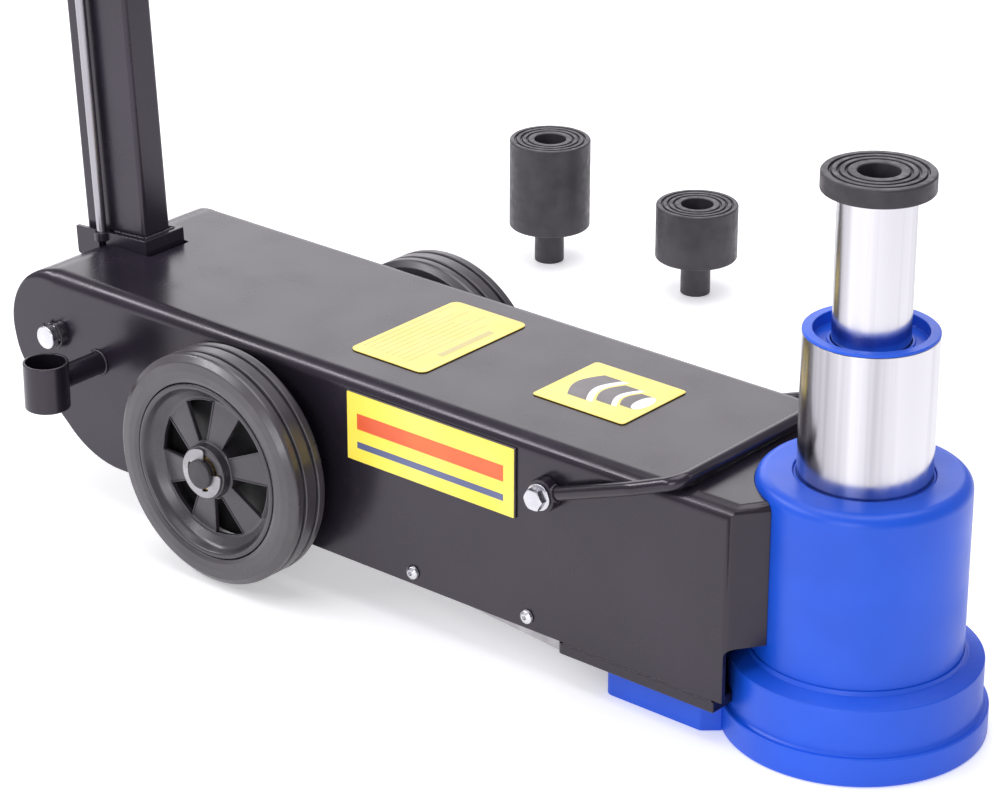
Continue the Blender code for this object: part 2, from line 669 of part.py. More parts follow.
def rim(name, parent, rotation):
    """Moulded rim: flared barrel, sunken web cut into six spokes, and a hub."""
    face = TYRE_WIDTH / 2
    back = -face + 0.001
    hub = 0.0185
    bore = 0.0128
    profile = [
        (RIM_RADIUS - 0.0006, face - 0.0012), (RIM_RADIUS, face - 0.0018), (RIM_RADIUS, back),
        (0.0570, back), (0.0500, -0.004), (hub, -0.004), (hub, back), (bore, back),
        (bore, face + 0.0004), (hub - 0.001, face + 0.0004), (hub, face - 0.0006), (hub, 0.0045),
        (0.0478, 0.0045), (0.0540, face - 0.006), (0.0565, face - 0.0012),
    ]
    wheel = turned(name, profile, LARGE_ROUND, closed=True)
    inner = 0.0200
    outer = 0.0472
    for index in range(6):
        centre = 60 * index + 45
        window = arc(0, 0, outer, centre - 17, centre + 17, 5)
        window += arc(0, 0, inner, centre + 15, centre - 15, 2)
        cut(wheel, flat(f"window_{index}", [window], 0.03))
    place(wheel, parent, (0, 0, 0), rotation, RIM_PLASTIC)


def wheels():
    for side_name, side in SIDES:
        pivot = WHEEL_PIVOTS[side_name]
        rotation = Y_AXIS if side > 0 else MINUS_Y_AXIS
        tyre(f"tyre_{side_name}", pivot, rotation)
        rim(f"rim_{side_name}", pivot, rotation)
        half = TYRE_WIDTH / 2
        bush = ring(f"wheel_bush_{side_name}", 0.0128 - GAP, AXLE_RADIUS + GAP, -half + 0.001, half,
                    SMALL_ROUND + 4)
        place(bush, pivot, (0, 0, 0), rotation, BRASS)
        retainer = clip(f"wheel_clip_{side_name}", AXLE_RADIUS - 0.0012, 0.0170, 0.0014)
        place(retainer, None, (WHEEL_X, side * 0.1276, WHEEL_Z), rotation, ZINC)


# ---------------------------------------------------------------- carrying bail
def bail():
    """Round bar bent to a U, with a welded eye at each end."""
    corner = 0.010
    half = BAIL_HALF_WIDTH
    reach = math.hypot(BAIL_REACH, BAIL_RISE)
    slope = math.atan2(BAIL_RISE, BAIL_REACH)
    bend = arc(reach - corner, half - corner, corner, 90, 0, 5)
    plan = [(0.0080, EYE_Y), (0.0720, EYE_Y + 0.0002)] + bend
    route = [(x * math.cos(slope), y, x * math.sin(slope)) for x, y in plan]
    route += [(x, -y, z) for x, y, z in reversed(route)]
    shape = bar("bail", route, BAIL_ROD, 1)
    for side in (-1, 1):
        eye = ring("eye", 0.0110, 0.0046, -EYE_WIDTH / 2, EYE_WIDTH / 2, SMALL_ROUND + 4)
        join(shape, eye, (0, side * EYE_Y, 0), Y_AXIS)
    place(shape, BAIL_PIVOT, material=BLACK_PAINT)


def bail_bolts():
    """Flanged hexagon bolts that carry the bail's eyes."""
    for side_name, side in SIDES:
        flange = [(0.0, 0.0020), (0.0064, 0.0020), (0.0088, 0.0011), (0.0088, 0.0), (0.0043, 0.0),
                  (0.0043, -0.0140), (0.0, -0.0140)]
        bolt = turned(f"bail_bolt_{side_name}", flange, SMALL_ROUND + 2)
        head = rod("hexagon", 0.0075, 0.0052, 6, 0.0005)
        join(bolt, head, (0, 0, 0.0044))
        rotation = Y_AXIS if side > 0 else MINUS_Y_AXIS
        outer = EYE_Y + EYE_WIDTH / 2 + GAP
        place(bolt, None, (BAIL_X, side * outer, BAIL_Z), rotation, ZINC)


# ---------------------------------------------------------------- rear pin and handle
def rear_pin():
    """Cross pin through the body's rear end, with clips and spacer tubes."""
    radius = 0.0082
    half = []
    for height, r in ((0.0934, radius - 0.0008), (0.0926, radius), (0.0876, radius),
                      (0.0876, radius - 0.0014), (0.0858, radius - 0.0014), (0.0858, radius)):
        half.append((r, height))
    profile = [(0.0, 0.0934)] + half + [(r, -height) for r, height in reversed(half)]
    profile.append((0.0, -0.0934))
    place(turned("rear_pin", profile, SMALL_ROUND + 4), None, (PIVOT_X, 0, PIVOT_Z), Y_AXIS, ZINC)
    for side_name, side in SIDES:
        retainer = clip(f"rear_pin_clip_{side_name}", radius - 0.0011, 0.0108, 0.0012)
        rotation = Y_AXIS if side > 0 else MINUS_Y_AXIS
        place(retainer, None, (PIVOT_X, side * 0.0867, PIVOT_Z), rotation, BLACK_OXIDE)
        length = BODY_HALF_WIDTH - SHEET - 2 * GAP - BRACKET_HALF_WIDTH
        half_length = length / 2
        spacer = ring(f"pin_spacer_{side_name}", 0.0125, radius + GAP, -half_length, half_length,
                      SMALL_ROUND + 4)
        middle = side * (BRACKET_HALF_WIDTH + GAP + half_length)
        place(spacer, None, (PIVOT_X, middle, PIVOT_Z), Y_AXIS, STEEL)


def handle_bracket():
    """Bent bracket round the post's foot: two cheeks on the cross pin, a front wall and a rod guide."""
    cheek = [(-0.0405, 0.0330), (-0.0290, 0.0290)] + arc(0, 0, 0.0150, 195, 345, 10)
    cheek += [(0.0250, 0.0380), (0.0285, 0.0430), (0.0285, BRACKET_TOP), (-0.0405, BRACKET_TOP)]
    bracket = flat("handle_bracket", [cheek], 2 * BRACKET_HALF_WIDTH)
    channel = block("channel", (0.080, 0.10, 2 * (BRACKET_HALF_WIDTH - SHEET)))
    cut(bracket, channel, (-0.016, 0.020, 0))
    front = block("front_wall", (SHEET, 0.0125, 2 * BRACKET_HALF_WIDTH))
    join(bracket, front, (0.0270, BRACKET_TOP - 0.0063, 0))
    cut(bracket, bore("pin_hole", 0.0085, 0.10, SMALL_ROUND + 4))
    guide = rod("rod_guide", 0.0057, 0.0066)
    join(bracket, guide, (ROD_X, BRACKET_TOP - 0.0031, -ROD_Y), LEVEL)
    cut(bracket, bore("rod_hole", ROD_RADIUS + GAP, 0.10), (ROD_X, BRACKET_TOP, -ROD_Y),
        LEVEL)
    place(bracket, HANDLE, rotation=SIDE_VIEW, material=BLACK_PAINT)


def handle_post():
    """Rectangular tube with rounded corners."""
    wall = 0.002
    outer = rectangle(POST_DEPTH, POST_WIDTH, 0.0030)
    inner = rectangle(POST_DEPTH - 2 * wall, POST_WIDTH - 2 * wall, 0.0012)
    length = POST_TOP - POST_BOTTOM
    post = flat("handle_post", [outer, inner], length)
    place(post, HANDLE, (POST_OFFSET, 0, POST_BOTTOM + length / 2), material=BLACK_PAINT)


def rod_guide():
    """Clamp high on the post that carries the lock rod."""
    guide = rod("rod_guide", 0.0057, 0.008)
    join(guide, block("tab", (0.022, 0.0020, 0.008)), (0.004, -POST_WIDTH / 2 - GAP - 0.0010 - ROD_Y, 0))
    cut(guide, bore("rod_hole", ROD_RADIUS + GAP, 0.05))
    place(guide, HANDLE, (ROD_X, ROD_Y, 0.690), material=BLACK_PAINT)


def lock_rod():
    """Chrome rod beside the post, with a pull knob near its top."""
    bottom = BRACKET_TOP - 0.007
    top = 0.770
    length = top - bottom
    place(rod("lock_rod", ROD_RADIUS, length, SMALL_ROUND, 0.0008), LOCK_ROD, (0, 0, (top + bottom) / 2),
          material=CHROME)
    stem_start = ROD_RADIUS + GAP
    ball = arc(0.0, 0.026, 0.0105, 90, -62, 8)
    profile = [(max(radius, 0.0), height) for radius, height in ball]
    profile += [(0.0042, 0.0130), (0.0042, stem_start), (0.0, stem_start)]
    knob = turned("lock_rod_knob", profile, SMALL_ROUND)
    place(knob, LOCK_ROD, (0, 0, 0.745), MINUS_Y_AXIS, BLACK_PLASTIC)


def handle_head():
    """Moulded head on the post: holds the grip bar and the two lever pivots."""
    bottom = POST_TOP + GAP
    height = 0.072
    head = block("handle_head", (0.066, 0.034, height), 0.005, 2)
    bar_height = GRIP_Z - bottom - height / 2
    pivot_height = LEVER_Z - bottom - height / 2
    for side in (-1, 1):
        for x in (-0.0092, 0.0092):
            ear = block("ear", (0.0046, 0.022, 0.014), 0.0)
            join(head, ear, (x, side * 0.0240, pivot_height))
        join(head, rod("lever_pin", 0.0020, 0.0225, 10), (0, side * LEVER_Y, pivot_height), X_AXIS)
    cut(head, bore("bar_hole", GRIP_BAR_RADIUS + GAP, 0.2, SMALL_ROUND + 4), (0, 0, bar_height), Y_AXIS)
    cut(head, bore("air_port", 0.0063, 0.03), (-0.033, 0, pivot_height), X_AXIS)
    place(head, HANDLE, (POST_OFFSET, 0, bottom + height / 2), material=BLACK_PLASTIC)


def grip_bar():
    length = 0.246
    sides = SMALL_ROUND + 4
    tube = ring("grip_bar", GRIP_BAR_RADIUS, GRIP_BAR_RADIUS - 0.002, -length / 2, length / 2, sides)
    place(tube, HANDLE, (POST_OFFSET, 0, GRIP_Z), Y_AXIS, STEEL)
    for side_name, side in SIDES:
        inner = GRIP_BAR_RADIUS + GAP
        profile = [(0.0, 0.1260), (0.0130, 0.1260), (0.0165, 0.1235)]
        profile += [(0.0185, 0.0300), (0.0185, 0.0260), (inner, 0.0260), (inner, length / 2 + GAP)]
        profile += [(0.0, length / 2 + GAP)]
        rotation = Y_AXIS if side > 0 else MINUS_Y_AXIS
        grip = turned(f"grip_{side_name}", profile, SMALL_ROUND + 2)
        place(grip, HANDLE, (POST_OFFSET, 0, GRIP_Z), rotation, SEAL_RUBBER)


def lever(name, pivot, side):
    """Flat finger lever below a grip, on a pin in the handle head."""
    thickness = 0.0128
    outline = arc(0, 0, 0.0060, 110, 250, 6)
    outline += [(0.018, -0.0085), (0.060, -0.0085), (0.074, -0.0060), (0.074, -0.0030), (0.060, -0.0050),
                (0.020, -0.0045), (0.008, 0.0040)]
    shape = flat(name, [[(side * x, y) for x, y in outline]], thickness)
    cut(shape, bore("pin_hole", 0.0023, 0.05, 10))
    place(shape, pivot, rotation=(math.radians(90), 0, math.radians(90)), material=ZINC)


def levers():
    for name, side in LEVERS:
        lever(name, LEVER_PIVOTS[name], side)


def air_inlet():
    """Quick-coupling nipple for the air line, on the rear of the handle head."""
    profile = [(0.0, -0.012), (0.0025, -0.012), (0.0025, 0.034), (0.0048, 0.034), (0.0058, 0.031),
               (0.0058, 0.027), (0.0044, 0.025), (0.0044, 0.018), (0.0070, 0.016), (0.0070, 0.008),
               (0.0085, 0.008), (0.0085, 0.0008), (0.0060, 0.0008), (0.0060, -0.014), (0.0, -0.014)]
    nipple = turned("air_inlet_nipple", profile, SMALL_ROUND)
    place(nipple, HANDLE, (POST_OFFSET - 0.033, 0, LEVER_Z), (0, math.radians(-90), 0), BRASS)


# ---------------------------------------------------------------- pump inside the body
def pump():
    """Air cylinder, its cap, piston and plunger, the pump block, the oil pipe and the release spindle."""
    front = PUMP_BLOCK_REAR - GAP
    rear = AIR_CYLINDER_REAR
    radius = 0.036
    length = front - rear
    inner = radius - 0.003
    shell = [(radius, length), (radius, 0.0), (inner, 0.0), (inner, length - 0.004),
             (0.0085, length - 0.004), (0.0085, length)]
    cylinder = turned("air_cylinder", shell, MEDIUM_ROUND, closed=True)
    place(cylinder, None, (rear, 0, PUMP_Z), X_AXIS, ALUMINIUM)
    cap = [(0.0, 0.004), (radius - 0.0034, 0.004), (radius - 0.0034, -GAP), (radius, -GAP), (radius, -0.006),
           (radius - 0.003, -0.009), (0.0060, -0.009), (0.0060, -0.002), (0.0, -0.002)]
    place(turned("air_cylinder_cap", cap, MEDIUM_ROUND), None, (rear, 0, PUMP_Z), X_AXIS, ALUMINIUM)
    piston = [(0.0, 0.146), (0.0050, 0.146), (0.0060, 0.144), (0.0060, 0.012), (radius - 0.0034, 0.012),
              (radius - 0.0034, 0.0), (0.0, 0.0)]
    place(turned("air_piston", piston, MEDIUM_ROUND), AIR_PISTON, (0, 0, 0), X_AXIS, ALUMINIUM)
    body = block("pump_block", (0.070, 0.096, 0.078), 0.003, 1)
    cut(body, bore("plunger_bore", 0.0063, 0.064), (-0.010, 0, 0), X_AXIS)
    cut(body, bore("spindle_bore", 0.0053, 0.040), (0.010, 0.040, 0.020), Y_AXIS)
    place(body, None, (PUMP_BLOCK_REAR + 0.035, 0, PUMP_Z), material=STEEL)
    start = PUMP_BLOCK_REAR + 0.070 + GAP
    fall = [(0.000, 0.060), (0.030, 0.060), (0.046, 0.058), (0.060, 0.052), (0.074, 0.044), (0.090, 0.040),
            (0.1145, 0.040)]
    route = [(start + x, -0.012, z) for x, z in fall]
    route[-1] = (-0.0786, -0.012, 0.040)
    place(bar("oil_pipe", route, 0.0040), material=STEEL)
    spindle = [(0.0, 0.018), (0.0035, 0.018), (0.0050, 0.016), (0.0050, -0.019), (0.0, -0.019)]
    stem = turned("release_spindle", spindle, 12)
    join(stem, block("arm", (0.026, 0.006, 0.005)), (0.010, 0, 0.0125))
    place(stem, SPINDLE, (0, 0, 0), Y_AXIS, ZINC)


# ---------------------------------------------------------------- joints and assembly
STAGE_ONE = empty("stage_one", (0, 0, 0))
STAGE_TWO = empty("stage_two", (0, 0, 0))
SADDLE_PIVOT = empty("saddle_pivot", (0, 0, 0))
WHEEL_CENTRE = WHEEL_FACE - TYRE_WIDTH / 2
WHEEL_PIVOTS = {}
for side_name, side in SIDES:
    WHEEL_PIVOTS[side_name] = empty(f"wheel_pivot_{side_name}", (WHEEL_X, side * WHEEL_CENTRE, WHEEL_Z))
BAIL_PIVOT = empty("bail_pivot", (BAIL_X, 0, BAIL_Z))
HANDLE = empty("handle_pivot", (PIVOT_X, 0, PIVOT_Z), (0, -HANDLE_LEAN, 0))
LOCK_ROD = empty("lock_rod_axis", (ROD_X, ROD_Y, 0))
LOCK_ROD.parent = HANDLE
LEVER_PIVOTS = {}
for lever_name, lever_side in LEVERS:
    LEVER_PIVOTS[lever_name] = empty(f"{lever_name}_pivot", (POST_OFFSET, lever_side * LEVER_Y, LEVER_Z))
    LEVER_PIVOTS[lever_name].parent = HANDLE
AIR_PISTON = empty("air_piston_axis", (AIR_CYLINDER_REAR + 0.008, 0, PUMP_Z))
SPINDLE = empty("release_spindle_axis", (PUMP_BLOCK_REAR + 0.045, 0.040, PUMP_Z + 0.020))
TALL_ADAPTER = empty("tall_adapter_foot", (*TALL_PLACE, 0))
SHORT_ADAPTER = empty("short_adapter_foot", (*SHORT_PLACE, 0))

base_casting()
outer_cylinder()
inner_cylinder()
cylinder_wiper()
ram_one()
ram_one_nut()
ram_two()
saddle()
adapter("extension_adapter_tall", TALL_ADAPTER, TALL_HEAD)
adapter("extension_adapter_short", SHORT_ADAPTER, SHORT_HEAD)
body_shell()
base_plate()
bottom_cover()
cover_screws()
holder_cup()
labels()
axle()
wheels()
bail()
bail_bolts()
rear_pin()
handle_bracket()
handle_post()
rod_guide()
lock_rod()
handle_head()
grip_bar()
levers()
air_inlet()
pump()
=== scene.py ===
"""Looks of the two-stage air-hydraulic car jack: finer pieces, materials, light and camera.

Metres, +Z up.  The origin is on the floor, on the axis of the rams.  +X points from the handle to the
rams, and +Y to the jack's left side.  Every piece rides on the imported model's bodies.
"""

import json
import math

import bmesh
import bpy
from mathutils import Matrix, Vector


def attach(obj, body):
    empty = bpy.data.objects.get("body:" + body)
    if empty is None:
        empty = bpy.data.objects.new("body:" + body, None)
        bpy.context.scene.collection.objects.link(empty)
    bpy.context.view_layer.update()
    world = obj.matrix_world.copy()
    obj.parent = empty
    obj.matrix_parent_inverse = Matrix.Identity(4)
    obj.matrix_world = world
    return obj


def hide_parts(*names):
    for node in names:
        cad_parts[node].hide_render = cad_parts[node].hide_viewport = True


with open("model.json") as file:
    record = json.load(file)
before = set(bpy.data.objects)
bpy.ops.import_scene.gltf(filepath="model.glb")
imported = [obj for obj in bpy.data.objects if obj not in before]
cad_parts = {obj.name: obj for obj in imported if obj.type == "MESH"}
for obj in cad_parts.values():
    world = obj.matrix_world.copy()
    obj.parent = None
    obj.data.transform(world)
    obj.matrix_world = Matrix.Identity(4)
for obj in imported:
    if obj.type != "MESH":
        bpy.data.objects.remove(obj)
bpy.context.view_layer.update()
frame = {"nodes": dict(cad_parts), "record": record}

# ---------------------------------------------------------------- sizes, in metres
GAP = 0.0003
FOOT_RADIUS = 0.0824
FOOT_HEIGHT = 0.019
COLLAR_RADIUS = 0.0784
COLLAR_HEIGHT = 0.0497
CASTING_TOP = 0.0565
CYLINDER_RADIUS = 0.0655
CYLINDER_TOP = 0.1700
CYLINDER_EDGE = 0.008
CYLINDER_MOUTH = 0.0429
RAM_ONE_RADIUS = 0.0410
RAM_ONE_BORE = 0.0352
RAM_ONE_TOP = 0.2604
RAM_TWO_RADIUS = 0.0237
SADDLE_RADIUS = 0.0341
SADDLE_BOTTOM = 0.3493
SADDLE_TOP = 0.3609
STEM_BORE = 0.0127

TONGUE_REAR = -0.1385
TONGUE_HALF_WIDTH = 0.0716
TONGUE_HEIGHT = 0.0227
BASE_PLATE_REAR = -0.168
BASE_PLATE_FRONT = -0.0465
BASE_PLATE_THICKNESS = 0.0075

BODY_HALF_WIDTH = 0.0824
BODY_TOP = 0.1629
BODY_BOTTOM = 0.0318
BODY_BEND = 0.0104
SHEET = 0.003
PIVOT_X = -0.614
PIVOT_Z = 0.118
SLOT_HALF_WIDTH = 0.0194
SLOT_FRONT = -0.584
COVER_SCREWS = (-0.2874, -0.1922)
COVER_SCREW_Z = 0.0405

WHEEL_X = -0.4312
WHEEL_Z = 0.0831
WHEEL_FACE = 0.1261
TYRE_WIDTH = 0.035
TYRE_RADIUS = 0.0799
RIM_RADIUS = 0.0609
AXLE_RADIUS = 0.010

BAIL_X = -0.176
BAIL_Z = 0.1318
BAIL_ROD = 0.0045
BAIL_REACH = 0.099
BAIL_RISE = 0.0363
BAIL_HALF_WIDTH = 0.0833
EYE_WIDTH = 0.0088
EYE_Y = BODY_HALF_WIDTH + GAP + EYE_WIDTH / 2

HANDLE_LEAN = math.radians(3.8)
POST_OFFSET = -0.0068
POST_DEPTH = 0.059
POST_WIDTH = 0.025
POST_BOTTOM = 0.018
POST_TOP = 0.790
BRACKET_HALF_WIDTH = 0.0190
BRACKET_TOP = 0.0530
ROD_X = -0.0145
ROD_Y = -0.0185
ROD_RADIUS = 0.0035
GRIP_Z = 0.842
GRIP_BAR_RADIUS = 0.0110
LEVER_Y = 0.0285
LEVER_Z = 0.811

CUP_X = -0.5730
CUP_Y = -0.1308
CUP_Z = 0.1077
CUP_RADIUS = 0.0155
CUP_HEIGHT = 0.033

ADAPTER_RADIUS = 0.0326
STEM_RADIUS = 0.0119
STEM_LENGTH = 0.0305
ADAPTERS = (("tall", (-0.6306, 0.4747), 0.0735), ("short", (-0.4971, 0.4952), 0.0445))

LARGE_ROUND = 128
MEDIUM_ROUND = 80
SMALL_ROUND = 40

UPRIGHT = Matrix.Identity(4)
ALONG_X = Matrix.Rotation(math.radians(90), 4, "Y")      # turns a piece's own Z axis to +X
ALONG_Y = Matrix.Rotation(math.radians(-90), 4, "X")     # ... to +Y
ALONG_MINUS_Y = Matrix.Rotation(math.radians(90), 4, "X")
SIDE_VIEW = Matrix.Rotation(math.radians(90), 4, "X")    # stands an XY outline up in the XZ plane
LEVEL = SIDE_VIEW.inverted()
HANDLE = Matrix.Translation((PIVOT_X, 0, PIVOT_Z)) @ Matrix.Rotation(-HANDLE_LEAN, 4, "Y")
SIDES = (("right", -1, ALONG_MINUS_Y), ("left", 1, ALONG_Y))


def at(x, y, z, turn=UPRIGHT):
    return Matrix.Translation((x, y, z)) @ turn


def on_handle(x, y, z, turn=UPRIGHT):
    """A place given in the handle's own frame."""
    return HANDLE @ at(x, y, z, turn)


# ---------------------------------------------------------------- materials
class Surface:
    """A Principled material with a few procedural layers in object space."""

    def __init__(self, name, colour, roughness, metallic=0.0, coat=0.0, coat_roughness=0.03, specular=0.5):
        self.material = bpy.data.materials.new(name)
        self.material.use_nodes = True
        self.tree = self.material.node_tree
        self.shader = self.tree.nodes["Principled BSDF"]
        self.set("Base Color", (*colour, 1.0))
        self.set("Roughness", roughness)
        self.set("Metallic", metallic)
        self.set("Coat Weight", coat)
        self.set("Coat Roughness", coat_roughness)
        self.set("Specular IOR Level", specular)
        self.coordinates = self.tree.nodes.new("ShaderNodeTexCoord").outputs["Object"]
        self.last_bump = None

    def set(self, socket, value):
        self.shader.inputs[socket].default_value = value

    def link(self, output, target):
        self.tree.links.new(output, target)

    def noise(self, scale, detail=4.0, roughness=0.5, stretch=(1, 1, 1), kind="ShaderNodeTexNoise"):
        mapping = self.tree.nodes.new("ShaderNodeMapping")
        mapping.inputs["Scale"].default_value = stretch
        self.link(self.coordinates, mapping.inputs["Vector"])
        texture = self.tree.nodes.new(kind)
        texture.inputs["Scale"].default_value = scale
        if kind == "ShaderNodeTexNoise":
            texture.inputs["Detail"].default_value = detail
            texture.inputs["Roughness"].default_value = roughness
        self.link(mapping.outputs["Vector"], texture.inputs["Vector"])
        return texture.outputs[0]

    def ramp(self, factor, stops):
        node = self.tree.nodes.new("ShaderNodeValToRGB")
        elements = node.color_ramp.elements
        while len(elements) < len(stops):
            elements.new(0.5)
        for element, (position, colour) in zip(elements, stops):
            element.position = position
            element.color = (*colour, 1.0)
        self.link(factor, node.inputs["Fac"])
        return node.outputs["Color"]

    def tint(self, factor, low, high, start=0.35, end=0.65):
        """Base colour that drifts between two colours."""
        self.link(self.ramp(factor, ((start, low), (end, high))), self.shader.inputs["Base Color"])
        return self

    def gloss(self, factor, low, high):
        """Roughness that drifts between two values."""
        spread = self.tree.nodes.new("ShaderNodeMapRange")
        spread.inputs["From Min"].default_value = 0.3
        spread.inputs["From Max"].default_value = 0.7
        spread.inputs["To Min"].default_value = low
        spread.inputs["To Max"].default_value = high
        self.link(factor, spread.inputs["Value"])
        self.link(spread.outputs["Result"], self.shader.inputs["Roughness"])
        return self

    def bump(self, height, strength, distance):
        node = self.tree.nodes.new("ShaderNodeBump")
        node.inputs["Strength"].default_value = strength
        node.inputs["Distance"].default_value = distance
        self.link(height, node.inputs["Height"])
        if self.last_bump is not None:
            self.link(self.last_bump, node.inputs["Normal"])
        self.last_bump = node.outputs["Normal"]
        self.link(self.last_bump, self.shader.inputs["Normal"])
        return self


def paint(name, deep, light, roughness, peel=0.05, tint=(1.0, 1.0, 1.0), specular=0.5):
    """Sprayed enamel: slow colour drift, orange peel and a clear, hard surface."""
    surface = Surface(name, light, roughness, specular=specular)
    surface.tint(surface.noise(9, 3), deep, light)
    surface.gloss(surface.noise(26, 5), roughness * 0.85, roughness * 1.25)
    surface.bump(surface.noise(520, 2), peel, 0.0004)
    surface.bump(surface.noise(70, 2), peel * 0.2, 0.0005)
    surface.set("Specular Tint", (*tint, 1.0))
    return surface.material


def metal(name, low, high, roughness, grain=0.05, stretch=(1, 1, 1), scale=700, metallic=1.0):
    surface = Surface(name, high, roughness, metallic)
    surface.tint(surface.noise(38, 4), low, high)
    surface.gloss(surface.noise(160, 4), roughness * 0.75, roughness * 1.3)
    surface.bump(surface.noise(scale, 3, stretch=stretch), grain, 0.0002)
    return surface.material


def moulded(name, low, high, roughness, grain=0.18, scale=900, sheen=0.0, specular=0.45):
    """Rubber or moulded plastic with a fine, even grain."""
    surface = Surface(name, high, roughness, specular=specular)
    surface.set("Sheen Weight", sheen)
    surface.tint(surface.noise(24, 5), low, high)
    surface.gloss(surface.noise(90, 4), roughness * 0.85, roughness * 1.2)
    surface.bump(surface.noise(scale, 3), grain, 0.0002)
    surface.bump(surface.noise(130, 4), grain * 0.5, 0.0003)
    return surface.material


def film(name, low, high, roughness=0.42):
    """Printed film, slightly uneven, under a thin laminate."""
    surface = Surface(name, high, roughness, coat=0.35, coat_roughness=0.2)
    surface.tint(surface.noise(16, 3), low, high)
    surface.gloss(surface.noise(60, 3), roughness * 0.85, roughness * 1.15)
    surface.bump(surface.noise(340, 2), 0.04, 0.0003)
    return surface.material


BLACK_PAINT = paint("black_enamel", (0.009, 0.007, 0.011), (0.016, 0.013, 0.021), 0.24, 0.03, (0.96, 0.88, 1.0), 0.58)
BLUE_PAINT = paint("blue_enamel", (0.004, 0.075, 0.590), (0.007, 0.100, 0.720), 0.36, 0.03, specular=0.45)
BLUE_CASTING = paint("blue_enamel_on_casting", (0.004, 0.068, 0.560), (0.007, 0.094, 0.700), 0.38, 0.09, specular=0.45)
CHROME = Surface("hard_chrome_painted_reflection_bands", (0.60, 0.59, 0.62), 0.15, 1.0)
# Vertical light and dark bands in the chrome's colour are painted reflections of the studio, not a real change in the
# metal.
CHROME.tint(CHROME.noise(34, 4, 0.6, (1.0, 1.0, 0.012)), (0.36, 0.35, 0.38), (0.68, 0.67, 0.70), 0.38, 0.60)
CHROME.gloss(CHROME.noise(120, 4, 0.5, (1.0, 1.0, 0.03)), 0.16, 0.27)
CHROME.bump(CHROME.noise(900, 3, 0.5, (1.0, 1.0, 0.03)), 0.03, 0.0002)
CHROME = CHROME.material
STEEL = metal("machined_steel", (0.32, 0.32, 0.33), (0.46, 0.46, 0.47), 0.34, 0.08)
ZINC = metal("bright_zinc", (0.52, 0.52, 0.56), (0.70, 0.70, 0.72), 0.26, 0.06)
PALE_ZINC = metal("pale_zinc", (0.34, 0.33, 0.35), (0.44, 0.43, 0.45), 0.46, 0.10)
BRASS = metal("machined_brass", (0.60, 0.43, 0.18), (0.76, 0.58, 0.28), 0.28, 0.06)
ALUMINIUM = metal("turned_aluminium", (0.60, 0.61, 0.62), (0.72, 0.73, 0.74), 0.34, 0.08)
BLACK_OXIDE = metal("black_oxide", (0.030, 0.027, 0.032), (0.052, 0.047, 0.056), 0.44, 0.16, metallic=0.2)
SEAL = moulded("seal_rubber", (0.012, 0.012, 0.013), (0.022, 0.022, 0.024), 0.55)
GRIP = moulded("grip_rubber", (0.014, 0.014, 0.015), (0.026, 0.025, 0.027), 0.62, 0.35, 620, 0.1)
TYRE = moulded("tyre_rubber", (0.034, 0.030, 0.036), (0.056, 0.049, 0.058), 0.31, 0.06, 700, specular=0.85)
RIM = moulded("rim_moulding", (0.028, 0.025, 0.030), (0.046, 0.041, 0.049), 0.30, 0.08, 1100, specular=0.7)
BLACK_MOULDING = moulded("black_moulding", (0.010, 0.010, 0.011), (0.018, 0.018, 0.020), 0.42, 0.25, 1300)
YELLOW_FILM = film("yellow_film", (0.95, 0.76, 0.07), (0.97, 0.83, 0.14))
PALE_YELLOW_FILM = film("pale_yellow_film", (0.86, 0.66, 0.10), (0.92, 0.74, 0.16))
GREY_PRINT = film("grey_print", (0.50, 0.40, 0.12), (0.58, 0.48, 0.17))
DARK_PRINT = film("dark_print", (0.070, 0.060, 0.066), (0.105, 0.090, 0.098))
WHITE_PRINT = film("white_print", (0.80, 0.78, 0.80), (0.90, 0.88, 0.90))
ORANGE_PRINT = film("orange_print", (0.72, 0.09, 0.02), (0.82, 0.15, 0.03))
BLUE_PRINT = film("blue_print", (0.08, 0.10, 0.22), (0.12, 0.14, 0.29))
SLOT_FINISH = {
    "black_paint": BLACK_PAINT, "blue_paint": BLUE_PAINT, "chrome": CHROME, "steel": STEEL, "zinc": ZINC,
    "brass": BRASS, "aluminium": ALUMINIUM, "seal_rubber": SEAL, "black_oxide": BLACK_OXIDE,
    "grey_tyre": TYRE, "rim_plastic": RIM, "black_plastic": BLACK_MOULDING, "yellow_label": YELLOW_FILM,
}
NODE_SLOT = {part["node"]: part["material_slot"] for part in frame["record"]["subparts"]}

for node_name, node in frame["nodes"].items():
    node.data.materials.clear()
    node.data.materials.append(SLOT_FINISH[NODE_SLOT[node_name]])


# ---------------------------------------------------------------- modelling helpers
def new_object(name, bm, matrix=UPRIGHT):
    bmesh.ops.recalc_face_normals(bm, faces=bm.faces)
    mesh = bpy.data.meshes.new(name)
    bm.to_mesh(mesh)
    bm.free()
    mesh.transform(matrix)
    shape = bpy.data.objects.new(name, mesh)
    bpy.context.scene.collection.objects.link(shape)
    return shape


def fillet(corners, closed=True, steps=4):
    """Points along an outline whose corners (a, b) or (a, b, radius) are rounded."""
    points = []
    count = len(corners)
    for index, corner in enumerate(corners):
        here = Vector(corner[:2])
        radius = corner[2] if len(corner) > 2 else 0.0
        is_end = not closed and index in (0, count - 1)
        if radius <= 0 or is_end:
            points.append(tuple(here))
            continue
        back = Vector(corners[index - 1][:2]) - here
        ahead = Vector(corners[(index + 1) % count][:2]) - here
        half = back.angle(ahead) / 2
        reach = min(radius / math.tan(half), back.length * 0.48, ahead.length * 0.48)
        radius = reach * math.tan(half)
        centre = here + (back.normalized() + ahead.normalized()).normalized() * radius / math.sin(half)
        start = here + back.normalized() * reach - centre
        end = here + ahead.normalized() * reach - centre
        sweep_angle = start.angle(end)
        for step in range(steps + 1):
            share = step / steps
            spoke = start * math.sin((1 - share) * sweep_angle) + end * math.sin(share * sweep_angle)
            points.append(tuple(centre + spoke / math.sin(sweep_angle)))
    return points


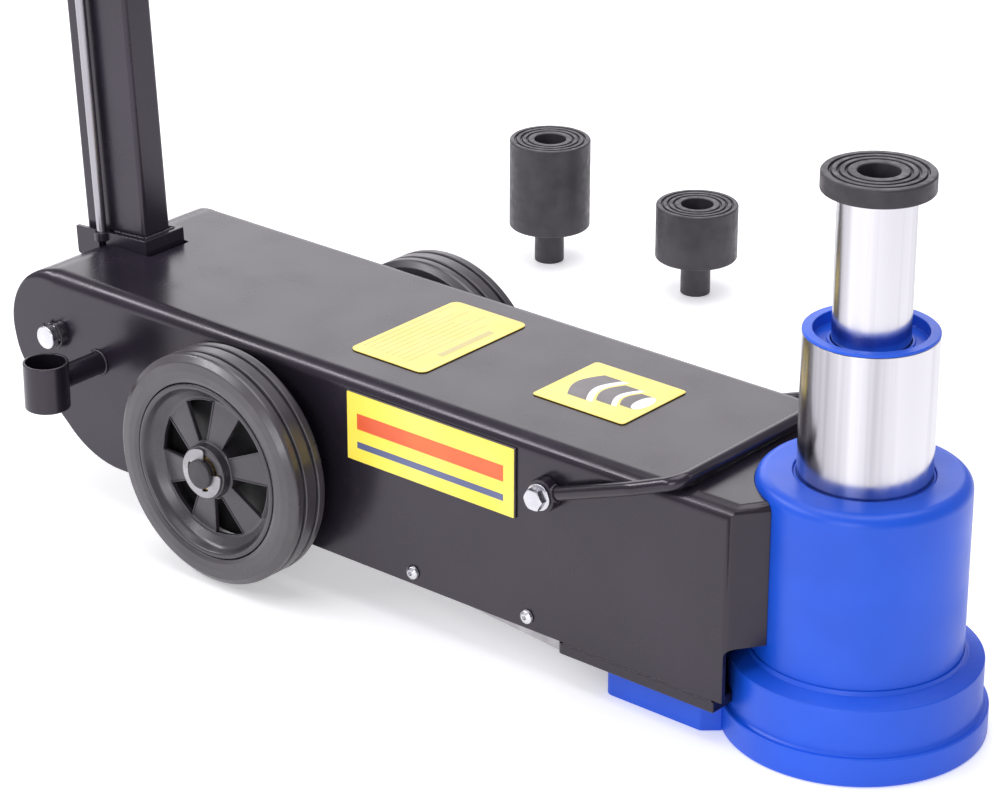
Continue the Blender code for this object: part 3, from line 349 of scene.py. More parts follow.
def arc(centre_x, centre_y, radius, start, end, count):
    angles = [math.radians(start + (end - start) * index / count) for index in range(count + 1)]
    return [(centre_x + radius * math.cos(a), centre_y + radius * math.sin(a)) for a in angles]


def rectangle(width, height, radius, steps=6):
    x = width / 2
    y = height / 2
    return fillet([(-x, -y, radius), (x, -y, radius), (x, y, radius), (-x, y, radius)], True, steps)


def lathe(name, profile, sides=MEDIUM_ROUND, matrix=UPRIGHT, closed=True, wobble=0.0):
    """A turned shape about Z.  Profile points on the axis become poles; closed joins the two ends."""
    bm = bmesh.new()
    rings = []
    for radius, height in profile:
        if radius < 1e-6:
            rings.append([bm.verts.new((0, 0, height))])
            continue
        ring = []
        for index in range(sides):
            angle = 2 * math.pi * index / sides
            r = radius * (1 + wobble * math.sin(9 * angle) * math.sin(23 * angle))
            ring.append(bm.verts.new((r * math.cos(angle), r * math.sin(angle), height)))
        rings.append(ring)
    pairs = list(zip(rings, rings[1:]))
    if closed:
        pairs.append((rings[-1], rings[0]))
    for upper, lower in pairs:
        for index in range(sides):
            after = (index + 1) % sides
            if len(upper) == 1 and len(lower) == 1:
                continue
            if len(upper) == 1:
                bm.faces.new((upper[0], lower[index], lower[after]))
            elif len(lower) == 1:
                bm.faces.new((upper[index], lower[0], upper[after]))
            else:
                bm.faces.new((upper[index], lower[index], lower[after], upper[after]))
    return new_object(name, bm, matrix)


def solid_of_revolution(name, profile, sides=MEDIUM_ROUND, matrix=UPRIGHT, steps=3):
    """A solid turned piece: the profile starts and ends on the axis."""
    return lathe(name, fillet(profile, False, steps), sides, matrix, closed=False)


def ring_of_revolution(name, profile, sides=MEDIUM_ROUND, matrix=UPRIGHT, steps=3):
    return lathe(name, fillet(profile, True, steps), sides, matrix)


def sweep(name, route, radius, sides=24, matrix=UPRIGHT, loop=False, radii=None):
    """A round bar along a route of 3-D points."""
    points = [Vector(point) for point in route]
    count = len(points)
    bm = bmesh.new()
    rings = []
    side = None
    for index, point in enumerate(points):
        before = points[index - 1] if loop or index else point
        after = points[(index + 1) % count] if loop or index < count - 1 else point
        heading = (after - before).normalized()
        if side is None:
            side = heading.orthogonal().normalized()
        side = (side - heading * side.dot(heading)).normalized()
        across = heading.cross(side)
        size = radii[index] if radii else radius
        ring = []
        for step in range(sides):
            angle = 2 * math.pi * step / sides
            ring.append(bm.verts.new(point + (side * math.cos(angle) + across * math.sin(angle)) * size))
        rings.append(ring)
    pairs = list(zip(rings, rings[1:]))
    if loop:
        pairs.append((rings[-1], rings[0]))
    else:
        bm.faces.new(rings[0])
        bm.faces.new(rings[-1])
    for one, other in pairs:
        for step in range(sides):
            after = (step + 1) % sides
            bm.faces.new((one[step], one[after], other[after], other[step]))
    return new_object(name, bm, matrix)


def bead(name, route, radius, pitch=0.0022):
    """A weld bead: a bar whose thickness ripples along the seam."""
    points = []
    for start, end in zip(route, route[1:]):
        start = Vector(start)
        end = Vector(end)
        steps = max(2, int((end - start).length / (pitch / 5)))
        points += [start.lerp(end, step / steps) for step in range(steps)]
    points.append(Vector(route[-1]))
    radii = []
    for index in range(len(points)):
        ripple = abs(math.sin(index * math.pi / 5))
        drift = math.sin(index * 0.37) * math.sin(index * 0.113)
        radii.append(radius * (0.82 + 0.16 * ripple + 0.10 * drift))
    radii[0] = radii[-1] = radius * 0.35
    return sweep(name, points, radius, 10, UPRIGHT, False, radii)


def flat(name, outlines, thickness, bevel=0.0, matrix=UPRIGHT, segments=3):
    """Filled outlines with a thickness, centred on their own XY plane, with rounded edges."""
    curve = bpy.data.curves.new(name, "CURVE")
    curve.dimensions = "2D"
    curve.fill_mode = "BOTH"
    curve.extrude = thickness / 2
    for outline in outlines:
        spline = curve.splines.new("POLY")
        spline.points.add(len(outline) - 1)
        for point, (x, y) in zip(spline.points, outline):
            point.co = (x, y, 0.0, 1.0)
        spline.use_cyclic_u = True
    holder = bpy.data.objects.new(name, curve)
    bpy.context.scene.collection.objects.link(holder)
    mesh = bpy.data.meshes.new_from_object(holder.evaluated_get(bpy.context.evaluated_depsgraph_get()))
    bpy.data.objects.remove(holder, do_unlink=True)
    bm = bmesh.new()
    bm.from_mesh(mesh)
    bmesh.ops.remove_doubles(bm, verts=bm.verts, dist=0.000005)
    bmesh.ops.dissolve_limit(bm, angle_limit=math.radians(0.1), verts=bm.verts, edges=bm.edges)
    shape = new_object(name, bm)
    if bevel:
        round_edges(shape, bevel, segments)
        bake(shape)
    shape.data.transform(matrix)
    return shape


def block(name, size, bevel=0.0, segments=4, matrix=UPRIGHT):
    bm = bmesh.new()
    bmesh.ops.create_cube(bm, size=1.0, matrix=Matrix.Diagonal((*size, 1.0)))
    shape = new_object(name, bm)
    if bevel:
        round_edges(shape, bevel, segments)
        bake(shape)
    shape.data.transform(matrix)
    return shape


def rod(name, radius, length, sides=SMALL_ROUND, matrix=UPRIGHT, bevel=0.0):
    half = length / 2
    profile = [(0, half), (radius, half, bevel), (radius, -half, bevel), (0, -half)]
    return solid_of_revolution(name, profile, sides, matrix)


def round_edges(shape, width, segments=3, degrees=50):
    bevel = shape.modifiers.new("rounded_edges", "BEVEL")
    bevel.width = width
    bevel.segments = segments
    bevel.limit_method = "ANGLE"
    bevel.angle_limit = math.radians(degrees)
    return bevel


def bake(shape):
    """Applies the modifiers to the mesh."""
    graph = bpy.context.evaluated_depsgraph_get()
    mesh = bpy.data.meshes.new_from_object(shape.evaluated_get(graph))
    shape.modifiers.clear()
    shape.data = mesh
    return shape


def combine(shape, tools, operation):
    for tool in tools:
        boolean = shape.modifiers.new(tool.name, "BOOLEAN")
        boolean.operation = operation
        boolean.object = tool
    bake(shape)
    for tool in tools:
        bpy.data.objects.remove(tool, do_unlink=True)
    return shape


def cut(shape, *tools):
    return combine(shape, tools, "DIFFERENCE")


def join(shape, *tools):
    return combine(shape, tools, "UNION")


def show(shape, material, body, nodes=(), sharp=32):
    """Finishes a visible piece: shading, material, the CAD nodes it stands for, and its body."""
    shape.data.materials.clear()
    shape.data.materials.append(material)
    shape.data.shade_smooth()
    shape.data.set_sharp_from_angle(angle=math.radians(sharp))
    weighted = shape.modifiers.new("even_shading", "WEIGHTED_NORMAL")
    weighted.keep_sharp = True
    if nodes:
        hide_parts(*nodes)
    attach(shape, body)
    return shape


# ---------------------------------------------------------------- hydraulic unit
def casting():
    lip = CYLINDER_RADIUS + GAP
    profile = [
        (0.0, 0.014), (0.058, 0.014, 0.002), (0.058, CASTING_TOP - 0.008), (lip, CASTING_TOP - 0.008),
        (lip, CASTING_TOP), (lip + 0.0010, CASTING_TOP, 0.0004), (lip + 0.0017, CASTING_TOP - 0.0027, 0.001),
        (COLLAR_RADIUS - 0.0100, COLLAR_HEIGHT + 0.0040, 0.0008), (COLLAR_RADIUS, COLLAR_HEIGHT, 0.0012),
        (COLLAR_RADIUS, FOOT_HEIGHT + 0.0016, 0.0006), (COLLAR_RADIUS + 0.0012, FOOT_HEIGHT + 0.0003, 0.0006),
        (FOOT_RADIUS, FOOT_HEIGHT, 0.0014), (FOOT_RADIUS, 0.0, 0.0018), (0.0, 0.0),
    ]
    shape = solid_of_revolution("casting", profile, LARGE_ROUND + 32)
    half = TONGUE_HALF_WIDTH
    outline = fillet([
        (TONGUE_REAR, half, 0.005), (TONGUE_REAR, -half, 0.005), (-0.064, -half, 0.003),
        (-0.0535, -0.0625), (-0.0605, -0.030), (-0.0605, 0.030), (-0.0535, 0.0625), (-0.064, half, 0.003),
    ])
    tongue = flat("tongue", [outline], TONGUE_HEIGHT, 0.0012, at(0, 0, TONGUE_HEIGHT / 2))
    join(shape, tongue)
    show(shape, BLUE_CASTING, "jack_body", ["base_casting"])


def cylinder():
    edge = CYLINDER_EDGE
    bottom = CASTING_TOP - 0.008 + GAP
    inner = CYLINDER_RADIUS - 0.004
    mouth = CYLINDER_MOUTH
    profile = arc(CYLINDER_RADIUS - edge, CYLINDER_TOP - edge, edge, 90, 0, 10)
    profile += [(CYLINDER_RADIUS, bottom), (inner, bottom), (inner, CYLINDER_TOP - 0.014)]
    profile += [(mouth, CYLINDER_TOP - 0.014), (mouth, CYLINDER_TOP, 0.0009)]
    shape = ring_of_revolution("reservoir_cylinder", profile, LARGE_ROUND + 32)
    show(shape, BLUE_PAINT, "jack_body", ["outer_cylinder"])
    low = CYLINDER_TOP - 0.012
    high = CYLINDER_TOP - 0.0012
    lip = RAM_ONE_RADIUS + GAP
    seal = [(mouth - GAP, high, 0.0004), (mouth - GAP, low), (lip, low), (lip, high + 0.0006, 0.0002),
            (lip + 0.0005, high + 0.0006, 0.0002), (lip + 0.0007, high, 0.0003)]
    shape = ring_of_revolution("wiper_seal", seal, LARGE_ROUND)
    show(shape, BLUE_PAINT, "jack_body", ["cylinder_wiper"])


def rams():
    profile = [(RAM_ONE_RADIUS, RAM_ONE_TOP, 0.0004), (RAM_ONE_RADIUS, 0.106, 0.0006),
               (RAM_ONE_BORE + GAP, 0.106), (RAM_ONE_BORE + GAP, RAM_ONE_TOP)]
    shape = ring_of_revolution("first_ram", profile, LARGE_ROUND)
    show(shape, CHROME, "stage_one", ["ram_one"])

    floor = 0.2548
    wall = 0.0346
    bore = RAM_TWO_RADIUS + 0.0006
    top = 0.2622
    nut = [
        (RAM_ONE_RADIUS, top, 0.0008), (RAM_ONE_RADIUS, RAM_ONE_TOP + GAP), (RAM_ONE_BORE, RAM_ONE_TOP + GAP),
        (RAM_ONE_BORE, 0.240), (bore, 0.240), (bore, floor + 0.0012, 0.0004),
        (bore + 0.0018, floor + 0.0012, 0.0004), (bore + 0.0018, floor, 0.0002), (wall, floor, 0.0006),
        (wall, top, 0.0006),
    ]
    shape = ring_of_revolution("first_ram_nut", nut, LARGE_ROUND)
    show(shape, BLUE_PAINT, "stage_one", ["ram_one_nut"])

    top = SADDLE_BOTTOM - GAP
    socket = 0.0165
    profile = [(0.0, 0.306), (STEM_BORE, 0.306), (STEM_BORE, top - 0.013), (socket, top - 0.013), (socket, top),
               (RAM_TWO_RADIUS, top, 0.001), (RAM_TWO_RADIUS, 0.197, 0.0006), (0.0, 0.197)]
    shape = solid_of_revolution("second_ram", profile, MEDIUM_ROUND + 16)
    show(shape, CHROME, "stage_two", ["ram_two"])


def grooved_pad(radius, top, grooves, depth=0.0017):
    """Upper face of a pad, from its hole outwards, with concentric round-bottomed grooves."""
    points = [(STEM_BORE, top, 0.0009)]
    for centre in grooves:
        points += [(centre - 0.0010, top, 0.0003), (centre - 0.0007, top - depth, 0.0005)]
        points += [(centre + 0.0007, top - depth, 0.0005), (centre + 0.0010, top, 0.0003)]
    points.append((radius, top, 0.0013))
    return points


def saddle():
    spigot = 0.0162
    foot = SADDLE_BOTTOM - 0.0125
    profile = grooved_pad(SADDLE_RADIUS, SADDLE_TOP, (0.0189, 0.0237, 0.0286))
    profile += [(SADDLE_RADIUS, SADDLE_BOTTOM, 0.0009), (spigot, SADDLE_BOTTOM), (spigot, foot), (STEM_BORE, foot)]
    shape = ring_of_revolution("saddle_pad", profile, LARGE_ROUND)
    show(shape, BLACK_OXIDE, "saddle", ["saddle"])


def adapters():
    for name, (x, y), head in ADAPTERS:
        top = STEM_LENGTH + head
        bottom_of_hole = top - STEM_LENGTH - 0.002
        profile = [(0.0, bottom_of_hole), (STEM_BORE, bottom_of_hole)]
        profile += grooved_pad(ADAPTER_RADIUS, top, (0.0185, 0.0232, 0.0279))
        profile += [(ADAPTER_RADIUS, STEM_LENGTH, 0.0013), (STEM_RADIUS, STEM_LENGTH, 0.0004),
                    (STEM_RADIUS, 0.0, 0.0009), (0.0, 0.0)]
        shape = solid_of_revolution(f"{name}_adapter", profile, LARGE_ROUND, at(x, y, 0))
        show(shape, BLACK_OXIDE, f"adapter_{name}", [f"extension_adapter_{name}"])


# ---------------------------------------------------------------- body
def body_outline(inset, bottom):
    radius = BODY_TOP - PIVOT_Z - inset
    nose = 0.02 if inset else -0.004
    rear = arc(PIVOT_X, PIVOT_Z, radius, 90, 229, 40)
    slope = math.tan(math.radians(41))
    end = (rear[-1][0] + (rear[-1][1] - bottom) / slope, bottom)
    return [(nose, bottom), (nose, BODY_TOP - inset)] + rear + [end]


def fold_weight(angle):
    """Share of the full fold radius, from the flat top (90 degrees) round the rear end."""
    tight = 1.0 - 0.75 * min((angle - 90) / 40, 1.0)
    return tight * min(max((218 - angle) / 22, 0.0), 1.0)


def folded_solid(name, inset):
    """The body's outside, or with an inset its hollow.  The long folds tighten round the rear end."""
    half = BODY_HALF_WIDTH - inset
    steps = 8
    bm = bmesh.new()
    sections = []
    for x, z in body_outline(inset, -0.04 - 3 * inset):
        angle = math.degrees(math.atan2(z - PIVOT_Z, x - PIVOT_X)) % 360
        outward = (0.0, 1.0)
        bend = BODY_BEND - inset
        if z < 0.02:
            bend = 0.0
        elif x < PIVOT_X:
            outward = (math.cos(math.radians(angle)), math.sin(math.radians(angle)))
            bend *= fold_weight(angle)
        right = []
        for step in range(steps + 1):
            turn = math.pi / 2 * step / steps
            drop = bend * (1 - math.sin(turn))
            right.append((x - outward[0] * drop, bend * (1 - math.cos(turn)) - half, z - outward[1] * drop))
        left = [(px, -py, pz) for px, py, pz in reversed(right)]
        sections.append([bm.verts.new(point) for point in right + left])
    for one, other in zip(sections, sections[1:] + sections[:1]):
        for index in range(len(one) - 1):
            bm.faces.new((one[index], one[index + 1], other[index + 1], other[index]))
    bm.faces.new([section[0] for section in sections])
    bm.faces.new([section[-1] for section in reversed(sections)])
    bmesh.ops.remove_doubles(bm, verts=bm.verts, dist=0.000002)
    return new_object(name, bm)


CORNER_RUN = Vector((0.0140, 0.0199)).normalized()
CORNER_START = Vector((-0.0385, -BODY_HALF_WIDTH))


def front_corners(inset):
    """Plan outline that bends the body's two front corners back to the cylinder."""
    side = BODY_HALF_WIDTH - inset + 0.00003
    bend = 0.0075 - inset
    run = CORNER_RUN
    start = CORNER_START + Vector((-run.y, run.x)) * inset
    corner = start - run * (start.y + side) / run.y
    nose = start + run * 0.062
    return fillet([(-0.8, -side), (corner.x, -side, bend), (nose.x, nose.y),
                   (nose.x, -nose.y), (corner.x, side, bend), (-0.8, side)], True, 6)


def corner_fold(side):
    """Everything behind one front corner's wall, with the fold between that wall and the top."""
    clear = 0.00003
    top = BODY_TOP + clear
    outline = fillet([(-0.9, -0.3), (-0.9, top), (clear, top, 0.0062), (clear, -0.3)], True, 8)
    x, y = CORNER_START.x, side * BODY_HALF_WIDTH
    heading = math.atan2(side * CORNER_RUN.x, CORNER_RUN.y)
    return flat("corner_fold", [outline], 1.8, matrix=at(x, y, 0, Matrix.Rotation(heading, 4, "Z") @ SIDE_VIEW))


def body_shell():
    shell = folded_solid("folded_body", 0.0)
    combine(shell, [flat("outer_corners", [front_corners(0.0)], 0.5)], "INTERSECT")
    for _, side, _ in SIDES:
        combine(shell, [corner_fold(side)], "INTERSECT")
    hollow = folded_solid("hollow", SHEET)
    combine(hollow, [flat("inner_corners", [front_corners(SHEET)], 0.5)], "INTERSECT")
    cut(shell, hollow)
    heel = [(-0.70, 0.10), (-0.70, 0.0), (-0.555, 0.0)]
    for angle in range(0, 42, 3):
        turn = math.radians(angle)
        heel.append((-0.5565 - 0.072 * math.sin(turn), 0.1038 - 0.072 * math.cos(turn)))
    heel += [(-0.6436, 0.0841), (-0.6600, 0.1000)]
    notch = fillet([(-0.0405, 0.0), (0.05, 0.0), (0.05, 0.0690), (-0.0405, 0.0690, 0.006)], True, 8)
    inside = 2 * (BODY_HALF_WIDTH - SHEET) + 0.0004
    tools = [
        rod("cylinder_clearance", CYLINDER_RADIUS + GAP, 0.5, LARGE_ROUND + 32),
        block("below_bottom", (0.9, 0.3, 0.2), matrix=at(-0.35, 0, BODY_BOTTOM - 0.1)),
        flat("front_notch", [notch], 0.3, matrix=SIDE_VIEW),
        flat("heel_trim", [heel], 0.3, matrix=SIDE_VIEW),
        flat("handle_slot", [rectangle(0.12, 2 * SLOT_HALF_WIDTH, 0.002)], 0.2, matrix=at(SLOT_FRONT - 0.06, 0, 0.14)),
        block("rear_opening", (0.10, inside, 0.08), matrix=at(-0.66, 0, 0.064)),
        rod("axle_holes", AXLE_RADIUS + GAP, 0.3, 32, at(WHEEL_X, 0, WHEEL_Z, ALONG_Y)),
        rod("pin_holes", 0.0085, 0.3, 32, at(PIVOT_X, 0, PIVOT_Z, ALONG_Y)),
        rod("bail_holes", 0.0046, 0.3, 24, at(BAIL_X, 0, BAIL_Z, ALONG_Y)),
    ]
    tools += [rod("screw_holes", 0.0033, 0.3, 20, at(x, 0, COVER_SCREW_Z, ALONG_Y)) for x in COVER_SCREWS]
    cut(shell, *tools)
    show(shell, BLACK_PAINT, "jack_body", ["body_shell"], 40)


def base_plate():
    half = BODY_HALF_WIDTH
    outline = fillet([(BASE_PLATE_REAR, half, 0.003), (BASE_PLATE_REAR, -half, 0.003),
                      (BASE_PLATE_FRONT, -half, 0.001), (BASE_PLATE_FRONT, half, 0.001)])
    height = TONGUE_HEIGHT + GAP + BASE_PLATE_THICKNESS / 2
    plate = flat("foot_plate", [outline], BASE_PLATE_THICKNESS, matrix=at(0, 0, height))
    cut(plate, rod("collar_clearance", COLLAR_RADIUS + GAP, 0.1, LARGE_ROUND + 32))
    round_edges(plate, 0.0007, 3, 60)
    bake(plate)
    show(plate, BLACK_PAINT, "jack_body", ["base_plate"])
    seam = TONGUE_HEIGHT + BASE_PLATE_THICKNESS + 0.0009
    for side_name, side, _ in SIDES:
        y = side * (half - 0.0007)
        weld = bead(f"plate_weld_{side_name}", [(BASE_PLATE_REAR + 0.004, y, seam), (-0.048, y, seam)], 0.0010)
        show(weld, BLACK_PAINT, "jack_body", sharp=60)


def bottom_cover():
    half = BODY_HALF_WIDTH - SHEET - GAP
    thickness = 0.0015
    front = BASE_PLATE_REAR - 0.001
    floor = [(-0.540, BODY_BOTTOM), (-0.272, BODY_BOTTOM), (front, 0.0232)]
    wall_top = 0.050
    pan = flat("pan", [floor + [(front, wall_top), (-0.540, wall_top)]], 2 * half, matrix=SIDE_VIEW)
    inner = [(-0.6, BODY_BOTTOM + thickness), (-0.272, BODY_BOTTOM + thickness)]
    drop = (0.0232 - BODY_BOTTOM) / (front + 0.272)
    inner += [(-0.15, inner[1][1] + drop * 0.122), (-0.15, 0.08), (-0.6, 0.08)]
    tools = [flat("pan_hollow", [inner], 2 * (half - thickness), 0.0012, SIDE_VIEW)]
    tools += [rod("screw_holes", 0.0033, 0.3, 20, at(x, 0, COVER_SCREW_Z, ALONG_Y)) for x in COVER_SCREWS]
    cut(pan, *tools)
    show(pan, PALE_ZINC, "jack_body", ["bottom_cover"])


def hexagon(radius):
    return arc(0, 0, radius, 0, 300, 5)


def cover_screws():
    number = 0
    for _, side, turn in SIDES:
        for x in COVER_SCREWS:
            number += 1
            dome = [(0.0, 0.0032), (0.0024, 0.0032, 0.0010), (0.0044, 0.0020, 0.0015), (0.0050, 0.0, 0.0003),
                    (0.0030, 0.0), (0.0030, -0.0075, 0.0004), (0.0, -0.0075)]
            place = at(x, side * (BODY_HALF_WIDTH + GAP), COVER_SCREW_Z, turn)
            screw = solid_of_revolution(f"button_screw_{number}", dome, SMALL_ROUND, place, 4)
            cut(screw, flat("socket", [hexagon(0.0017)], 0.004, matrix=place @ at(0, 0, 0.0032)))
            show(screw, ZINC, "jack_body", [f"cover_screw_{number}"])


def holder_cup():
    half = CUP_HEIGHT / 2
    floor = -half + 0.003
    inner = CUP_RADIUS - 0.0021
    profile = [(0.0, floor), (inner, floor, 0.001), (inner, half, 0.0007), (CUP_RADIUS, half, 0.0007),
               (CUP_RADIUS, -half, 0.0010), (0.0, -half)]
    cup = solid_of_revolution("stem_cup", profile, MEDIUM_ROUND, at(CUP_X, CUP_Y, CUP_Z), 4)
    start = CUP_RADIUS - 0.00105
    length = -CUP_Y - BODY_HALF_WIDTH - GAP - start
    join(cup, rod("arm", 0.0080, length, SMALL_ROUND, at(CUP_X, CUP_Y + start + length / 2, CUP_Z, ALONG_Y)))
    show(cup, BLACK_PAINT, "jack_body", ["holder_cup"])
    weld_ring("cup_arm_weld", 0.0084, at(CUP_X, -BODY_HALF_WIDTH - 0.0006, CUP_Z, ALONG_Y), 0.0013, "jack_body")


def weld_ring(name, radius, matrix, size, body):
    """A weld bead round a bar or an eye, in the matrix's XY plane."""
    count = 96
    route = []
    radii = []
    for index in range(count):
        angle = 2 * math.pi * index / count
        route.append(matrix @ Vector((radius * math.cos(angle), radius * math.sin(angle), 0)))
        radii.append(size * (0.80 + 0.18 * abs(math.sin(12 * angle)) + 0.10 * math.sin(5 * angle)))
    ring = sweep(name, route, size, 10, UPRIGHT, True, radii)
    show(ring, BLACK_PAINT, body, sharp=60)


PRINT = 0.00008                 # height of printed artwork above its film


def artwork(name, outlines, thickness, matrix, material):
    """Printed shapes on a label, each outline a closed area of its own."""
    pieces = [flat(f"{name}_{index}", [outline], thickness) for index, outline in enumerate(outlines)]
    bm = bmesh.new()
    for piece in pieces:
        bm.from_mesh(piece.data)
        bpy.data.objects.remove(piece, do_unlink=True)
    shape = new_object(name, bm, matrix)
    show(shape, material, "jack_body")


def bar_outline(x, y, width, height):
    return [(x - width / 2, y - height / 2), (x + width / 2, y - height / 2),
            (x + width / 2, y + height / 2), (x - width / 2, y + height / 2)]


def barrel_outline(rear, front, half, bulge):
    """A block of the lifting pictogram: both ends bow towards the rear."""
    steps = 14
    ends = []
    for x in (rear, front):
        ends.append([(x - bulge * math.cos(math.pi / 2 * t), half * t)
                     for t in [-1 + 2 * index / steps for index in range(steps + 1)]])
    return ends[0] + list(reversed(ends[1]))


def labels():
    """Yellow films on the top sheet, and a thicker plate on the right side, all without lettering."""
    film_height = 0.0006
    top = BODY_TOP + GAP + film_height / 2
    large = at(-0.3384, 0.0027, top)
    shape = flat("large_film", [rectangle(0.064, 0.106, 0.006)], film_height, 0.0002, large)
    show(shape, PALE_YELLOW_FILM, "jack_body", ["top_label_large"])
    lines = []
    for index in range(9):
        length = 0.088 - 0.010 * ((index * 5) % 3)
        lines.append(bar_outline(-0.0275 + 0.0049 * index, -0.0435 + length / 2, 0.0008, length))
    raised = at(0, 0, film_height / 2 + PRINT / 2)
    artwork("large_film_lines", lines, PRINT, large @ raised, GREY_PRINT)
    artwork("large_film_band", [bar_outline(0.0215, 0.0015, 0.0052, 0.052)], PRINT, large @ raised, GREY_PRINT)

    small = at(-0.1969, 0.0034, top)
    shape = flat("small_film", [rectangle(0.0735, 0.0662, 0.003)], film_height, 0.0002, small)
    show(shape, PALE_YELLOW_FILM, "jack_body", ["top_label_small"])
    dark = [barrel_outline(-0.0190, -0.0040, 0.0190, 0.0075), barrel_outline(0.0010, 0.0130, 0.0150, 0.0060),
            barrel_outline(0.0170, 0.0270, 0.0112, 0.0045)]
    white = [barrel_outline(-0.0040, 0.0010, 0.0186, 0.0075), barrel_outline(0.0130, 0.0170, 0.0147, 0.0060),
             [(0.0270 + 0.0052 * math.cos(a), 0.0110 * math.sin(a))
              for a in [math.radians(12 * index) for index in range(30)]]]
    artwork("small_film_blocks", dark, PRINT, small @ raised, DARK_PRINT)
    artwork("small_film_bows", white, PRINT * 2, small @ raised, WHITE_PRINT)

    plate = 0.0018
    face = 0.0004
    middle = at(-0.2717, -BODY_HALF_WIDTH - GAP - (plate - face) / 2, 0.1299, SIDE_VIEW)
    shape = flat("side_plate", [rectangle(0.1400, 0.0480, 0.0006)], plate - face, 0.0002, middle)
    show(shape, DARK_PRINT, "jack_body", ["side_label_plate"])
    outside = at(-0.2717, -BODY_HALF_WIDTH - GAP - plate + face / 2, 0.1299, SIDE_VIEW)
    shape = flat("side_film", [rectangle(0.1390, 0.0470, 0.0006)], face, 0.0001, outside)
    show(shape, YELLOW_FILM, "jack_body")
    raised = at(0, 0, face / 2 + PRINT / 2)
    artwork("side_film_wide_band", [bar_outline(0.0, 0.0045, 0.122, 0.0110)], PRINT, outside @ raised, ORANGE_PRINT)
    artwork("side_film_thin_band", [bar_outline(0.0, -0.0120, 0.122, 0.0045)], PRINT, outside @ raised, BLUE_PRINT)


# ---------------------------------------------------------------- running gear
def axle():
    half = [(AXLE_RADIUS, 0.1312, 0.0010), (AXLE_RADIUS, 0.1286), (AXLE_RADIUS - 0.0015, 0.1286),
            (AXLE_RADIUS - 0.0015, 0.1266), (AXLE_RADIUS, 0.1266)]
    mirrored = [(corner[0], -corner[1], *corner[2:]) for corner in reversed(half)]
    profile = [(0.0, 0.1312)] + half + mirrored + [(0.0, -0.1312)]
    shape = solid_of_revolution("through_axle", profile, SMALL_ROUND + 8, at(WHEEL_X, 0, WHEEL_Z, ALONG_Y))
    show(shape, BLACK_OXIDE, "jack_body", ["axle"])


def retaining_clip(name, grip, outer, relief, thickness, matrix, node, material):
    """E-clip: three broad teeth on the shaft, two reliefs between them, and an open mouth."""
    mouth = 36
    outline = arc(0, 0, outer, mouth + 4, 356 - mouth, 48)
    outline += arc(0, 0, outer - 0.0012, 358 - mouth, 359 - mouth, 1)
    outline += arc(0, 0, grip, 360 - mouth - 2, 256, 12)
    outline += arc(0, 0, relief, 253, 227, 8)
    outline += arc(0, 0, grip, 224, 136, 16)
    outline += arc(0, 0, relief, 133, 107, 8)
    outline += arc(0, 0, grip, 104, mouth + 2, 12)
    outline += arc(0, 0, outer - 0.0012, mouth + 1, mouth + 2, 1)
    shape = flat(name, [outline], thickness, 0.00015, matrix)
    show(shape, material, "jack_body", [node])


def tyre(name, place, body, node):
    half = TYRE_WIDTH / 2
    r = TYRE_RADIUS
    seat = RIM_RADIUS + GAP
    profile = [(seat, half - 0.0014, 0.0008), (seat + 0.0030, half - 0.0002, 0.0015), (r - 0.0105, half, 0.004),
               (r - 0.0046, half - 0.0008, 0.002), (r, half - 0.0048, 0.0032)]
    for centre in (0.0058, -0.0058):
        profile += [(r, centre + 0.0015, 0.0009), (r - 0.0026, centre + 0.0008, 0.0007)]
        profile += [(r - 0.0026, centre - 0.0008, 0.0007), (r, centre - 0.0015, 0.0009)]
    profile += [(r, -half + 0.0048, 0.0032), (r - 0.0046, -half + 0.0008, 0.002), (r - 0.0105, -half, 0.004),
                (seat, -half + 0.0014, 0.0008)]
    shape = ring_of_revolution(name, profile, LARGE_ROUND + 32, place, 5)
    show(shape, TYRE, body, [node], 40)


def rim(name, place, body, node):
    face = TYRE_WIDTH / 2
    back = -face + 0.001
    hub = 0.0185
    bore = 0.0128
    profile = [
        (RIM_RADIUS - 0.0003, face - 0.0010, 0.0010), (RIM_RADIUS - 0.0003, back), (0.0570, back, 0.001),
        (0.0494, 0.0035, 0.0010), (hub, 0.0080, 0.001), (hub, back, 0.0005), (bore, back),
        (bore, face + 0.0004, 0.0004), (hub, face + 0.0004, 0.0012), (hub, 0.0110, 0.0010), (0.0480, 0.0065, 0.0040),
        (0.0545, face - 0.0060, 0.0080), (0.0575, face - 0.0004, 0.0022),
    ]
    shape = ring_of_revolution(name, profile, LARGE_ROUND, place, 5)
    windows = []
    edges = []
    for index in range(6):
        centre = 60 * index + 45
        outline = arc(0, 0, 0.0474, centre - 16, centre + 16, 10)
        outline += arc(0, 0, 0.0200, centre + 14, centre - 14, 5)
        outline = outline[:-1]
        windows.append(flat(f"window_{index}", [outline], 0.03, matrix=place))
        route = [place @ Vector((x, y, 0.0111 - 0.1525 * (math.hypot(x, y) - hub))) for x, y in outline]
        edges.append(sweep(f"{name}_window_edge_{index}", route, 0.0006, 8, UPRIGHT, True))
    cut(shape, *windows)
    show(shape, RIM, body, [node], 40)
    bm = bmesh.new()
    for edge in edges:
        bm.from_mesh(edge.data)
        bpy.data.objects.remove(edge, do_unlink=True)
    raised = new_object(f"{name}_window_edges", bm)
    show(raised, RIM, body)
    # A dark disc behind the windows, darker than the rim, is painted shade: it fills the windows with the dark that
    # shade gives them.
    disc = [(0.0518, -0.0050, 0.0004), (0.0518, -0.0070, 0.0004), (hub + 0.0001, -0.0070), (hub + 0.0001, -0.0050)]
    inner = ring_of_revolution(f"{name}_painted_shade_disc", disc, MEDIUM_ROUND, place)
    show(inner, BLACK_MOULDING, body)


